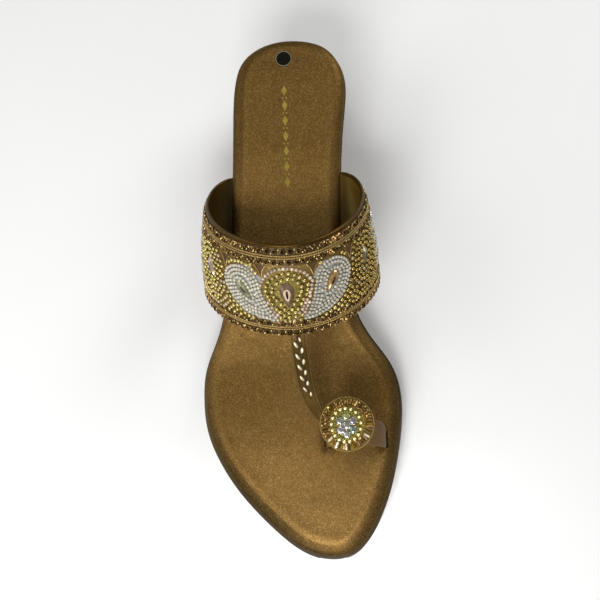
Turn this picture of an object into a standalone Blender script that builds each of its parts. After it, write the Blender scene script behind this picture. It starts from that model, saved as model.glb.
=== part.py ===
"""Low wedge toe-ring sandal, right foot, about size 37.

Frame: metres, +Z up, the floor is Z = 0.  Toe towards -Y, heel towards +Y,
medial (big toe) side towards +X.  The origin is the middle of the shoe's
footprint on the floor.

Pieces a maker puts together, one object each:
    outsole    moulded rubber tread sheet, flat with a little toe spring
    wedge      moulded unit that lifts the heel, flared walls
    insole     padded footbed, rolled edges, slots for the toe ring
    upper      instep band + T-strap + toe ring, one hollow solid
    medallion  round ornament on top of the toe ring
"""
import math
import bpy
import bmesh
from mathutils import Vector

MM = 0.001
GAP = 0.3                 # clearance between neighbouring pieces, mm

# ---------------------------------------------------------------- sizes, mm
LENGTH = 248.0            # heel rim to toe tip at footbed level
TREAD_LENGTH = 242.0      # the tread sheet stops short under the heel
TREAD_THICK = 2.3
SPRING_START = 60.0       # the toe lifts forward of here
SPRING_HEIGHT = 4.5
INSOLE_THICK = 5.0
INSOLE_ROLL = 5.0         # width of the rounded edge of the footbed
STRAP_THICK = 2.2         # wall of the straps
TAB_LENGTH = 10.0         # strap length glued between insole and wedge
BAND_POWER = 1.9          # superellipse power of the band's arch
T_WIDTH = 7.0
T_THICK = 2.2
RING_POWER = 2.15
MEDAL_RADIUS = 12.6
MEDAL_THICK = 3.0
MEDAL_CENTRE = (22.2, 58.8)     # x, station from the toe tip
MEDAL_TILT = 7.0          # degrees, leaning to the toe

STATIONS = 44             # sections along the shoe
CAP_COLUMNS = 4           # cells across each flat face

# Plan outline at footbed level: station from the toe tip, x on each side.
TOP_OUTLINE = (
    # station, lateral, medial
    (0.0, 13.6, 13.6),
    (3.0, 0.5, 24.1),
    (10.0, -9.6, 30.9),
    (20.0, -20.1, 36.4),
    (32.0, -30.6, 41.0),
    (46.0, -39.6, 44.6),
    (62.0, -46.0, 47.2),
    (78.0, -47.6, 47.3),
    (92.0, -46.0, 42.8),
    (106.0, -40.4, 33.3),
    (124.0, -35.3, 25.9),
    (145.0, -32.4, 23.2),
    (175.0, -29.9, 23.2),
    (205.0, -28.4, 25.7),
    (225.0, -27.1, 27.4),
    (238.0, -22.8, 23.1),
    (245.0, -14.1, 15.3),
    (248.0, -0.2, -0.2),
)
# Plan outline of the tread sheet, on its own length.
TREAD_OUTLINE = (
    # station, lateral, medial
    (0.0, 13.4, 13.4),
    (3.0, 0.6, 23.8),
    (10.0, -9.6, 30.3),
    (20.0, -19.6, 36.1),
    (32.0, -29.8, 40.5),
    (46.0, -38.8, 44.1),
    (62.0, -45.0, 46.6),
    (78.0, -46.8, 46.4),
    (92.0, -44.6, 40.8),
    (106.0, -38.2, 31.0),
    (124.0, -32.0, 23.0),
    (145.0, -26.6, 18.6),
    (175.0, -22.2, 18.0),
    (205.0, -20.8, 19.2),
    (222.0, -19.9, 20.4),
    (233.0, -15.6, 16.8),
    (239.5, -7.6, 9.4),
    (242.0, 0.6, 0.6),
)
# Height of the wedge's top face, under the footbed.
WEDGE_TOP = (
    # station, height
    (0.0, 13.6),
    (20.0, 11.8),
    (40.0, 10.5),
    (60.0, 10.0),
    (80.0, 10.3),
    (100.0, 12.4),
    (125.0, 18.2),
    (150.0, 25.0),
    (175.0, 31.2),
    (200.0, 36.2),
    (225.0, 39.8),
    (248.0, 41.5),
)
# The instep band, a row for each line along it.
BAND = (
    # w (0 toe edge, 1 heel edge), foot station, lean, bulge lateral,
    # bulge medial, bulge height, top height (both along the leaning plane)
    (0.0, 140.5, 51.4, 42.3, 38.9, 14.3, 55.1),
    (0.5, 161.0, 49.9, 42.6, 37.7, 18.2, 61.6),
    (1.0, 181.5, 48.3, 39.8, 33.8, 22.0, 65.4),
)
# T-strap centre line, from the band's toe edge down to the ring's inner leg.
T_STRAP = (
    # x, station, height
    (2.2, 100.6, 57.6),
    (2.5, 94.5, 51.8),
    (3.0, 86.5, 43.0),
    (4.3, 77.0, 32.8),
    (7.2, 69.0, 26.2),
    (10.2, 63.8, 22.0),
    (11.6, 60.2, 19.8),
)
# Toe ring: centre line in x and height above the footbed, its width and the
# station of its middle.  share runs from the inner leg to the medial leg.
RING_LATERAL = 12.2
RING_MEDIAL = 38.6
RING_RISE = 18.9          # footbed surface to the middle of the wall at the top
RING = (
    # share, middle station, width
    (0.00, 56.4, 11.0),
    (0.20, 56.2, 12.0),
    (0.50, 55.7, 12.4),
    (0.70, 55.1, 11.8),
    (0.82, 54.5, 10.4),
    (0.92, 53.9, 8.2),
    (1.00, 53.6, 6.8),
)


# ------------------------------------------------------------ small helpers
def natural_spline(xs, ys):
    """Smooth curve through the rows of a table."""
    n = len(xs)
    a = [0.0] * n
    b = [1.0] * n
    c = [0.0] * n
    d = [0.0] * n
    for i in range(1, n - 1):
        h0, h1 = xs[i] - xs[i - 1], xs[i + 1] - xs[i]
        a[i], b[i], c[i] = h0, 2 * (h0 + h1), h1
        d[i] = 6 * ((ys[i + 1] - ys[i]) / h1 - (ys[i] - ys[i - 1]) / h0)
    for i in range(1, n):
        m = a[i] / b[i - 1]
        b[i] -= m * c[i - 1]
        d[i] -= m * d[i - 1]
    k = [0.0] * n
    k[-1] = d[-1] / b[-1]
    for i in range(n - 2, -1, -1):
        k[i] = (d[i] - c[i] * k[i + 1]) / b[i]

    def value(x):
        j = 0
        while j < n - 2 and x > xs[j + 1]:
            j += 1
        h = xs[j + 1] - xs[j]
        p = (xs[j + 1] - x) / h
        q = (x - xs[j]) / h
        return (p * ys[j] + q * ys[j + 1]
                + ((p ** 3 - p) * k[j] + (q ** 3 - q) * k[j + 1]) * h * h / 6)
    return value


def column(table, key, col):
    return natural_spline([r[key] for r in table], [r[col] for r in table])


def angle_of(station, length):
    """Station as an angle, 0 at the toe tip and pi at the heel: round ends."""
    return math.acos(max(-1.0, min(1.0, 1 - 2 * station / length)))


def outline(table, length):
    angles = [angle_of(r[0], length) for r in table]
    lateral = natural_spline(angles, [r[1] for r in table])
    medial = natural_spline(angles, [r[2] for r in table])
    return lateral, medial


wedge_top = column(WEDGE_TOP, 0, 1)
top_lateral, top_medial = outline(TOP_OUTLINE, LENGTH)
tread_lateral, tread_medial = outline(TREAD_OUTLINE, TREAD_LENGTH)


def toe_spring(station):
    if station >= SPRING_START:
        return 0.0
    return SPRING_HEIGHT * ((SPRING_START - station) / SPRING_START) ** 1.8


def to_world(x, station, z):
    return Vector((x * MM, (station - LENGTH / 2) * MM, z * MM))


def ring_of(lateral, medial, length):
    """Closed plan outline: toe tip, lateral side, heel tip, medial side."""
    side_a, side_b = [], []
    for i in range(1, STATIONS):
        th = math.pi * i / STATIONS
        t = length * (1 - math.cos(th)) / 2
        side_a.append((lateral(th), t))
        side_b.append((medial(th), t))
    toe = ((lateral(0.0) + medial(0.0)) / 2, 0.0)
    heel = ((lateral(math.pi) + medial(math.pi)) / 2, length)
    return [toe] + side_a + [heel] + side_b[::-1]


def inset(ring, amount):
    """Move a plan outline inwards; amount is a number or a function."""
    out = []
    n = len(ring)
    for i, (x, t) in enumerate(ring):
        ax, at = ring[i - 1]
        bx, bt = ring[(i + 1) % n]
        dx, dt = bx - ax, bt - at
        size = math.hypot(dx, dt)
        a = amount(t) if callable(amount) else amount
        out.append((x + dt / size * a, t - dx / size * a))
    return out


def mix(p, q, f):
    return tuple(a + (b - a) * f for a, b in zip(p, q))


def stacked_solid(name, rings, crown=0.0):
    """Closed solid from rings of (x, station, z), lowest first.

    Each ring is: toe tip, lateral side, heel tip, medial side.  The two end
    rings are closed by a grid between their paired stations.
    """
    bm = bmesh.new()
    grid = [[bm.verts.new(to_world(*p)) for p in ring] for ring in rings]
    n = len(rings[0])
    for low, high in zip(grid, grid[1:]):
        for i in range(n):
            j = (i + 1) % n
            bm.faces.new((low[i], low[j], high[j], high[i]))
    for ring, pts, lift in ((grid[0], rings[0], 0.0), (grid[-1], rings[-1], crown)):
        rows = []
        for i in range(1, STATIONS):
            a, b = ring[i], ring[n - i]
            pa, pb = pts[i], pts[n - i]
            row = [a]
            for c in range(1, CAP_COLUMNS):
                f = c / CAP_COLUMNS
                x, t, z = mix(pa, pb, f)
                row.append(bm.verts.new(to_world(x, t, z + lift * math.sin(math.pi * f))))
            row.append(b)
            rows.append(row)
        for r0, r1 in zip(rows, rows[1:]):
            for c in range(CAP_COLUMNS):
                bm.faces.new((r0[c], r0[c + 1], r1[c + 1], r1[c]))
        for c in range(CAP_COLUMNS):
            bm.faces.new((ring[0], rows[0][c], rows[0][c + 1]))
            bm.faces.new((ring[STATIONS], rows[-1][c + 1], rows[-1][c]))
    return finish_mesh(name, bm)


def strip_solid(name, sections):
    """Closed solid from equal closed sections, each a list of vectors in mm."""
    bm = bmesh.new()
    grid = [[bm.verts.new(to_world(*p)) for p in s] for s in sections]
    n = len(sections[0])
    for a, b in zip(grid, grid[1:]):
        for i in range(n):
            j = (i + 1) % n
            bm.faces.new((a[i], a[j], b[j], b[i]))
    bm.faces.new(grid[0][::-1])
    bm.faces.new(grid[-1])
    return finish_mesh(name, bm)


def finish_mesh(name, bm):
    bmesh.ops.triangulate(bm, faces=bm.faces[:])
    bmesh.ops.recalc_face_normals(bm, faces=bm.faces[:])
    mesh = bpy.data.meshes.new(name)
    bm.to_mesh(mesh)
    bm.free()
    mesh.shade_smooth()
    mesh.set_sharp_from_angle(angle=math.radians(38))
    ob = bpy.data.objects.new(name, mesh)
    bpy.context.scene.collection.objects.link(ob)
    return ob


def material(ob, name, colour, roughness, metallic=0.0):
    mat = bpy.data.materials.new(name)
    mat.use_nodes = True
    node = mat.node_tree.nodes["Principled BSDF"]
    node.inputs["Base Color"].default_value = (*colour, 1.0)
    node.inputs["Roughness"].default_value = roughness
    node.inputs["Metallic"].default_value = metallic
    ob.data.materials.append(mat)


def guide(ob):
    """An operand of a Boolean: it is not a piece of the shoe."""
    ob.hide_render = True
    ob.display_type = 'WIRE'
    return ob


def boolean(ob, other, operation):
    mod = ob.modifiers.new(operation.lower() + "_" + other.name, 'BOOLEAN')
    mod.object = other
    mod.operation = operation
    mod.solver = 'EXACT'


# ------------------------------------------------------------------- outsole
def build_outsole():
    plan = ring_of(tread_lateral, tread_medial, TREAD_LENGTH)
    low = [(x, t, toe_spring(t)) for x, t in plan]
    high = [(x, t, toe_spring(t) + TREAD_THICK) for x, t in plan]
    ob = stacked_solid("outsole", [low, high])
    material(ob, "tread_rubber", (0.19, 0.10, 0.055), 0.7)
    return ob


# --------------------------------------------------------------------- wedge
def wedge_ring(level):
    """Ring of the wedge wall; level 0 on the tread sheet, 1 under the footbed."""
    low = ring_of(tread_lateral, tread_medial, TREAD_LENGTH)
    high = ring_of(top_lateral, top_medial, LENGTH)
    flare = level ** 1.35
    pts = []
    for (x0, t0), (x1, t1) in zip(low, high):
        z0 = toe_spring(t0) + TREAD_THICK + GAP
        z1 = wedge_top(t1)
        pts.append((x0 + (x1 - x0) * flare, t0 + (t1 - t0) * flare,
                    z0 + (z1 - z0) * level))
    return pts


def build_wedge():
    ob = stacked_solid("wedge", [wedge_ring(k / 4) for k in range(5)])
    material(ob, "wedge_unit", (0.17, 0.105, 0.045), 0.55)
    return ob


# -------------------------------------------------------------------- insole
def rim_inset(station):
    """The footbed is set in from the wedge's rim, less so towards the heel."""
    share = min(1.0, max(0.0, (station - 70.0) / 80.0))
    return 1.5 - 0.9 * share


def build_insole():
    plan = ring_of(top_lateral, top_medial, LENGTH)
    base = GAP

    def ring(extra, rise):
        pts = inset(plan, lambda t: rim_inset(t) + extra)
        return [(x, t, wedge_top(t) + base + rise) for x, t in pts]

    rings = [ring(0.7, 0.0), ring(0.0, 0.9)]
    side = 1.7
    for k in range(0, 5):
        q = math.pi / 2 * k / 4
        rings.append(ring(INSOLE_ROLL * (1 - math.cos(q)),
                          side + (INSOLE_THICK - side) * math.sin(q)))
    ob = stacked_solid("insole", rings, crown=0.35)
    material(ob, "bronze_footbed", (0.28, 0.17, 0.055), 0.42, 0.5)
    return ob


def footbed(station):
    """Height of the footbed's surface."""
    return wedge_top(station) + GAP + INSOLE_THICK


# --------------------------------------------------------------- instep band
band_foot = column(BAND, 0, 1)
band_lean = column(BAND, 0, 2)
band_lat = column(BAND, 0, 3)
band_med = column(BAND, 0, 4)
band_bulge = column(BAND, 0, 5)
band_top = column(BAND, 0, 6)


def band_line(w, tab=TAB_LENGTH, cells=56, tab_cells=2):
    """Middle of the band's wall along one line, lateral tab to medial tab."""
    foot = band_foot(w)
    lean = math.radians(band_lean(w))
    th = angle_of(foot, LENGTH)
    out_a, out_b = -top_lateral(th) - 0.4, top_medial(th) - 0.4
    ground = wedge_top(foot) - STRAP_THICK / 2
    lat, med = band_lat(w), band_med(w)
    low, top = band_bulge(w), band_top(w)
    pts = []
    steps = 12
    for i in range(steps):
        q = math.pi / 2 * i / steps
        pts.append((-(out_a + (lat - out_a) * math.sin(q)), low * (1 - math.cos(q))))
    for i in range(41):
        u = math.pi * (1 - i / 40)
        c, s = math.cos(u), math.sin(u)
        x = (med if c > 0 else -lat) * abs(c) ** (2 / BAND_POWER) if abs(c) > 1e-9 else 0.0
        pts.append((x, low + (top - low) * abs(s) ** (2 / BAND_POWER)))
    for i in range(steps - 1, -1, -1):
        q = math.pi / 2 * i / steps
        pts.append((out_b + (med - out_b) * math.sin(q), low * (1 - math.cos(q))))
    # even cells along the arch
    run = [0.0]
    for a, b in zip(pts, pts[1:]):
        run.append(run[-1] + math.hypot(b[0] - a[0], b[1] - a[1]))
    even = []
    j = 0
    for i in range(cells + 1):
        s = run[-1] * i / cells
        while j < len(run) - 2 and run[j + 1] < s:
            j += 1
        f = (s - run[j]) / (run[j + 1] - run[j])
        even.append(mix(pts[j], pts[j + 1], f))
    line = []
    for i in range(tab_cells):
        line.append((-out_a + tab * (1 - i / tab_cells), foot, ground))
    for x, h in even:
        line.append((x, foot - h * math.sin(lean), ground + h * math.cos(lean)))
    for i in range(1, tab_cells + 1):
        line.append((out_b - tab * i / tab_cells, foot, ground))
    return [Vector(p) for p in line]


def band_solid(name, rows, w0=0.0, w1=1.0, outer=STRAP_THICK / 2,
               inner=STRAP_THICK / 2, tab=TAB_LENGTH, keep=None):
    """Thick band between the lines w0 and w1, outer and inner off the middle."""
    lines = [band_line(w0 + (w1 - w0) * r / rows, tab) for r in range(rows + 1)]
    n = len(lines[0])
    span = range(n) if keep is None else keep(n)
    normals = []
    for r, line in enumerate(lines):
        row = []
        up = lines[min(r + 1, rows)]
        dn = lines[max(r - 1, 0)]
        for i in range(n):
            along = line[min(i + 1, n - 1)] - line[max(i - 1, 0)]
            across = up[i] - dn[i]
            # lateral to medial crossed with toe to heel points out of the arch
            row.append(along.cross(across).normalized())
        normals.append(row)
    bm = bmesh.new()
    out_v, in_v = [], []
    for line, row in zip(lines, normals):
        out_v.append([bm.verts.new(to_world(*(line[i] + row[i] * outer))) for i in span])
        in_v.append([bm.verts.new(to_world(*(line[i] - row[i] * inner))) for i in span])
    m = len(out_v[0])
    for r in range(rows):
        for i in range(m - 1):
            bm.faces.new((out_v[r][i], out_v[r][i + 1], out_v[r + 1][i + 1], out_v[r + 1][i]))
            bm.faces.new((in_v[r][i], in_v[r + 1][i], in_v[r + 1][i + 1], in_v[r][i + 1]))
        for i in (0, m - 1):
            bm.faces.new((out_v[r][i], out_v[r + 1][i], in_v[r + 1][i], in_v[r][i]))
    for i in range(m - 1):
        for r in (0, rows):
            bm.faces.new((out_v[r][i], in_v[r][i], in_v[r][i + 1], out_v[r][i + 1]))
    return finish_mesh(name, bm)


# ------------------------------------------------------------------- T-strap
def build_t_strap():
    keys = [0.0]
    for a, b in zip(T_STRAP, T_STRAP[1:]):
        keys.append(keys[-1] + math.dist(a, b))
    axes = [natural_spline(keys, [r[k] for r in T_STRAP]) for k in range(3)]
    cells = 18
    line = [Vector([f(keys[-1] * i / cells) for f in axes]) for i in range(cells + 1)]
    sections = []
    for i, p in enumerate(line):
        t = (line[min(i + 1, cells)] - line[max(i - 1, 0)]).normalized()
        side = Vector((1, 0, 0))
        side = (side - t * side.dot(t)).normalized()
        up = side.cross(t).normalized()
        if up.z < 0:
            up = -up
        slim = max(0.0, i / cells - 0.78) / 0.22
        half, thick = T_WIDTH / 2 * (1 - 0.4 * slim), T_THICK / 2
        shape = ((-half, -thick * 0.6), (-half, thick * 0.4), (-half * 0.45, thick),
                 (half * 0.45, thick), (half, thick * 0.4), (half, -thick * 0.6),
                 (half * 0.45, -thick), (-half * 0.45, -thick))
        sections.append([p + side * a + up * b for a, b in shape])
    return strip_solid("t_strap", sections)


# ------------------------------------------------------------------ toe ring
ring_station = column(RING, 0, 1)
ring_width = column(RING, 0, 2)


def ring_sections(grow=0.0, legs_only=0, drop=0.0, cells=26):
    """Closed sections of the toe ring; grow adds clearance all round."""
    mid = (RING_LATERAL + RING_MEDIAL) / 2
    half = (RING_MEDIAL - RING_LATERAL) / 2
    floor = wedge_top(RING[0][1]) + GAP * 1.6
    base = footbed(RING[0][1])
    leg = base + 5.0
    top = base + RING_RISE
    path = [(mid - half, floor - drop), (mid - half, base)]
    for i in range(cells + 1):
        u = math.pi * (1 - i / cells)
        c, s = math.cos(u), math.sin(u)
        e = 2 / RING_POWER
        x = mid + half * math.copysign(abs(c) ** e, c) if abs(c) > 1e-9 else mid
        path.append((x, leg + (top - leg) * abs(s) ** e))
    path += [(mid + half, base), (mid + half, floor - drop)]
    run = [0.0]
    for a, b in zip(path, path[1:]):
        run.append(run[-1] + math.dist(a, b))
    sections = []
    for i, (x, z) in enumerate(path):
        a, b = path[max(i - 1, 0)], path[min(i + 1, len(path) - 1)]
        dx, dz = b[0] - a[0], b[1] - a[1]
        size = math.hypot(dx, dz)
        nx, nz = -dz / size, dx / size
        share = run[i] / run[-1]
        st, wd = ring_station(share), ring_width(share) / 2 + grow
        th = STRAP_THICK / 2 + grow
        soft = 0.0 if grow else 0.35
        shape = ((-wd, -th + soft), (-wd, th - soft), (-wd + 1.2, th), (wd - 1.2, th),
                 (wd, th - soft), (wd, -th + soft), (wd - 1.2, -th), (-wd + 1.2, -th))
        if grow:
            shape = ((-wd, -th), (-wd, th), (wd, th), (wd, -th))
        sections.append([Vector((x + nx * b2, st + a2, z + nz * b2)) for a2, b2 in shape])
    return sections


def build_ring():
    return strip_solid("toe_ring", ring_sections())


def ring_slots():
    """Cutters for the two slots of the footbed that take the ring's legs."""
    full = ring_sections(grow=GAP, drop=3.0)
    lateral = strip_solid("slot_inner_leg", full[:4])
    medial = strip_solid("slot_medial_leg", full[-4:])
    return [guide(lateral), guide(medial)]


# ----------------------------------------------------------------- medallion
def build_medallion():
    """Turned disc with rounded rim and a low crown, lying on the toe ring."""
    rows = (
        # radius share, height share
        (1.00, 0.30),
        (1.00, 0.62),
        (0.965, 0.86),
        (0.90, 0.97),
        (0.55, 1.06),
        (0.25, 1.12),
    )
    seg = 36
    tilt = math.radians(MEDAL_TILT)
    cx, ct = MEDAL_CENTRE
    # rests on the highest line of the ring, the clearance above it
    base = footbed(RING[0][1]) + RING_RISE + STRAP_THICK / 2 + GAP
    reach = abs(ct - RING[2][1]) + RING[2][2] / 2
    base += reach * math.tan(tilt)

    def place(r, a, h):
        x, y = r * math.cos(a), r * math.sin(a)
        return (cx + x, ct + y * math.cos(tilt) - h * math.sin(tilt),
                base + y * math.sin(tilt) + h * math.cos(tilt))

    bm = bmesh.new()
    rings = [[(r * MEDAL_RADIUS, h * MEDAL_THICK)] for r, h in rows]
    rings.insert(0, [(0.94 * MEDAL_RADIUS, 0.0)])
    grid = []
    for (r, h), in rings:
        grid.append([bm.verts.new(to_world(*place(r, 2 * math.pi * k / seg, h)))
                     for k in range(seg)])
    for a, b in zip(grid, grid[1:]):
        for k in range(seg):
            j = (k + 1) % seg
            bm.faces.new((a[k], a[j], b[j], b[k]))
    for ring, h in ((grid[0], 0.0), (grid[-1], 1.14 * MEDAL_THICK)):
        c = bm.verts.new(to_world(*place(0.0, 0.0, h)))
        for k in range(seg):
            bm.faces.new((ring[k], ring[(k + 1) % seg], c))
    ob = finish_mesh("medallion", bm)
    material(ob, "gilt_beads", (0.75, 0.52, 0.20), 0.3, 0.9)
    return ob


# ---------------------------------------------------------------------- main
def main():
    for ob in list(bpy.data.objects):
        bpy.data.objects.remove(ob, do_unlink=True)

    build_outsole()
    wedge = build_wedge()
    insole = build_insole()

    upper = band_solid("upper", 7)
    material(upper, "beaded_band", (0.45, 0.29, 0.10), 0.45, 0.4)
    for part in (build_t_strap(), build_ring()):
        boolean(upper, guide(part), 'UNION')

    # recesses in the wedge's top face for the glued ends of the band
    def first(n):
        return range(0, 7)

    def last(n):
        return range(n - 7, n)

    edge = GAP / 41.0
    for label, span in (("lateral", first), ("medial", last)):
        pocket = band_solid("recess_" + label, 7, -edge, 1 + edge,
                            outer=STRAP_THICK / 2 + GAP, inner=STRAP_THICK / 2 + 2.0,
                            tab=TAB_LENGTH + GAP, keep=span)
        boolean(wedge, guide(pocket), 'DIFFERENCE')

    for slot in ring_slots():
        boolean(insole, slot, 'DIFFERENCE')

    build_medallion()


main()
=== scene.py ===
"""Looks for the low wedge toe-ring sandal (right shoe).

All sizes are in shoe millimetres: x medial +, station t from the toe tip, z up.
They become metres in the row frame with t measured from the middle of the shoe.
"""

import math

import bmesh
import bpy
import numpy as np
from mathutils import Matrix, Vector
from mathutils.bvhtree import BVHTree


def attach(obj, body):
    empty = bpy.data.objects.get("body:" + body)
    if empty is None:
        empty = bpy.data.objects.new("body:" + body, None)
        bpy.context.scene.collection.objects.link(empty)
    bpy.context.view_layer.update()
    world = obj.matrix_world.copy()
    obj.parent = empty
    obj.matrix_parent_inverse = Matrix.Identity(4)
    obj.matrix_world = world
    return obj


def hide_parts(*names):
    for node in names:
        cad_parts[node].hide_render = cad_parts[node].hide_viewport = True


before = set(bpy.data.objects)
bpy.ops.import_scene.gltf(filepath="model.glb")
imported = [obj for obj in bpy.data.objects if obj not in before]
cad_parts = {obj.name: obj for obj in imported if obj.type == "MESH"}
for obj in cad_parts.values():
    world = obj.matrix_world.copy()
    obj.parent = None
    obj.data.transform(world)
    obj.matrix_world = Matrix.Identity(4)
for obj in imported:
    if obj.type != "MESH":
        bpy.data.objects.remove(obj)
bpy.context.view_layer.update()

MM = 0.001
GAP = 0.3
LENGTH = 248.0
TREAD_LENGTH = 242.0
TREAD_THICK = 2.3
SPRING_START = 60.0
SPRING_HEIGHT = 4.5
INSOLE_THICK = 5.0
INSOLE_ROLL = 5.0
STRAP_THICK = 2.2
TAB_LENGTH = 10.0
BAND_POWER = 1.9
BAND_WIDTH = 41.0         # toe edge to heel edge along the strap
RING_POWER = 2.15
MEDAL_CENTRE = (22.2, 58.8)
MEDAL_TILT = 7.0
MEDAL_RADIUS = 12.6

TOP_OUTLINE = (
    # station, lateral, medial
    (0.0, 13.6, 13.6), (3.0, 0.5, 24.1), (10.0, -9.6, 30.9), (20.0, -20.1, 36.4),
    (32.0, -30.6, 41.0), (46.0, -39.6, 44.6), (62.0, -46.0, 47.2), (78.0, -47.6, 47.3),
    (92.0, -46.0, 42.8), (106.0, -40.4, 33.3), (124.0, -35.3, 25.9), (145.0, -32.4, 23.2),
    (175.0, -29.9, 23.2), (205.0, -28.4, 25.7), (225.0, -27.1, 27.4), (238.0, -22.8, 23.1),
    (245.0, -14.1, 15.3), (248.0, -0.2, -0.2),
)
TREAD_OUTLINE = (
    # station, lateral, medial
    (0.0, 13.4, 13.4), (3.0, 0.6, 23.8), (10.0, -9.6, 30.3), (20.0, -19.6, 36.1),
    (32.0, -29.8, 40.5), (46.0, -38.8, 44.1), (62.0, -45.0, 46.6), (78.0, -46.8, 46.4),
    (92.0, -44.6, 40.8), (106.0, -38.2, 31.0), (124.0, -32.0, 23.0), (145.0, -26.6, 18.6),
    (175.0, -22.2, 18.0), (205.0, -20.8, 19.2), (222.0, -19.9, 20.4), (233.0, -15.6, 16.8),
    (239.5, -7.6, 9.4), (242.0, 0.6, 0.6),
)
WEDGE_TOP = (
    # station, height
    (0.0, 13.6), (20.0, 11.8), (40.0, 10.5), (60.0, 10.0), (80.0, 10.3), (100.0, 12.4),
    (125.0, 18.2), (150.0, 25.0), (175.0, 31.2), (200.0, 36.2), (225.0, 39.8), (248.0, 41.5),
)
BAND = (
    # w, foot station, lean, bulge lateral, bulge medial, bulge height, top height
    (0.0, 140.5, 51.4, 42.3, 38.9, 14.3, 55.1),
    (0.5, 161.0, 49.9, 42.6, 37.7, 18.2, 61.6),
    (1.0, 181.5, 48.3, 39.8, 33.8, 22.0, 65.4),
)
T_STRAP = (
    # x, station, height; the first two rows run under the band's toe edge
    (2.2, 103.5, 57.9), (2.35, 98.8, 54.9), (2.5, 94.5, 51.7), (3.0, 86.5, 43.0),
    (4.3, 77.0, 32.8), (7.2, 69.0, 26.2), (10.2, 63.8, 22.0), (11.6, 60.2, 19.8),
)
T_WIDTH = 7.0
RING_LATERAL = 12.2
RING_MEDIAL = 38.6
RING_RISE = 18.9
RING = (
    # share, middle station, width
    (0.00, 56.4, 11.0), (0.20, 56.2, 12.0), (0.50, 55.7, 12.4), (0.70, 55.1, 11.8),
    (0.82, 54.5, 10.4), (0.92, 53.9, 8.2), (1.00, 53.6, 6.8),
)
rng = np.random.default_rng(37)


# ---------------------------------------------------------------- small maths
def natural_spline(xs, ys):
    xs, ys = np.asarray(xs, float), np.asarray(ys, float)
    n = len(xs)
    h = np.diff(xs)
    a = np.eye(n)
    r = np.zeros(n)
    for i in range(1, n - 1):
        a[i, i - 1:i + 2] = h[i - 1], 2 * (h[i - 1] + h[i]), h[i]
        r[i] = 6 * ((ys[i + 1] - ys[i]) / h[i] - (ys[i] - ys[i - 1]) / h[i - 1])
    k = np.linalg.solve(a, r)

    def value(x):
        x = np.asarray(x, float)
        j = np.clip(np.searchsorted(xs, x) - 1, 0, n - 2)
        hh = h[j]
        p, q = (xs[j + 1] - x) / hh, (x - xs[j]) / hh
        return (p * ys[j] + q * ys[j + 1]
                + ((p ** 3 - p) * k[j] + (q ** 3 - q) * k[j + 1]) * hh * hh / 6)
    return value


def column(table, key, col):
    return natural_spline([r[key] for r in table], [r[col] for r in table])


def angle_of(t, length):
    return np.arccos(np.clip(1 - 2 * np.asarray(t, float) / length, -1, 1))


def outline(table, length):
    th = angle_of([r[0] for r in table], length)
    return natural_spline(th, [r[1] for r in table]), natural_spline(th, [r[2] for r in table])


wedge_top = column(WEDGE_TOP, 0, 1)
top_lateral, top_medial = outline(TOP_OUTLINE, LENGTH)
tread_lateral, tread_medial = outline(TREAD_OUTLINE, TREAD_LENGTH)


def toe_spring(t):
    return SPRING_HEIGHT * np.clip((SPRING_START - np.asarray(t, float)) / SPRING_START, 0, 1) ** 1.8


def footbed(t):
    return wedge_top(t) + GAP + INSOLE_THICK


def unit(v):
    return v / np.maximum(np.linalg.norm(v, axis=-1, keepdims=True), 1e-12)


def smooth_step(x, a, b):
    f = np.clip((x - a) / (b - a), 0, 1)
    return f * f * (3 - 2 * f)


def resample(points, step=None, count=None, closed=False):
    """Even points along a polyline; returns points and the real step."""
    p = np.asarray(points, float)
    if closed:
        p = np.vstack([p, p[:1]])
    run = np.r_[0, np.cumsum(np.linalg.norm(np.diff(p, axis=0), axis=1))]
    if count is None:
        count = max(2, int(round(run[-1] / step)))
    at = np.linspace(0, run[-1], count + 1)
    if closed:
        at = at[:-1]
    out = np.stack([np.interp(at, run, p[:, k]) for k in range(p.shape[1])], 1)
    return out, run[-1] / count


def smooth_curve(points, closed=False, per=12):
    """Catmull-Rom curve through a few charted points."""
    p = np.asarray(points, float)
    n = len(p)
    if closed:
        q = np.vstack([p[-1:], p, p[:2]])
    else:
        q = np.vstack([2 * p[:1] - p[1:2], p, 2 * p[-1:] - p[-2:-1]])
    out = []
    u = np.linspace(0, 1, per, endpoint=False)[:, None]
    for i in range(n if closed else n - 1):
        a, b, c, d = q[i], q[i + 1], q[i + 2], q[i + 3]
        out.append(0.5 * (2 * b + (c - a) * u + (2 * a - 5 * b + 4 * c - d) * u * u
                          + (3 * b - a - 3 * c + d) * u ** 3))
    out = np.vstack(out)
    if not closed:
        out = np.vstack([out, p[-1:]])
    return out


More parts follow.
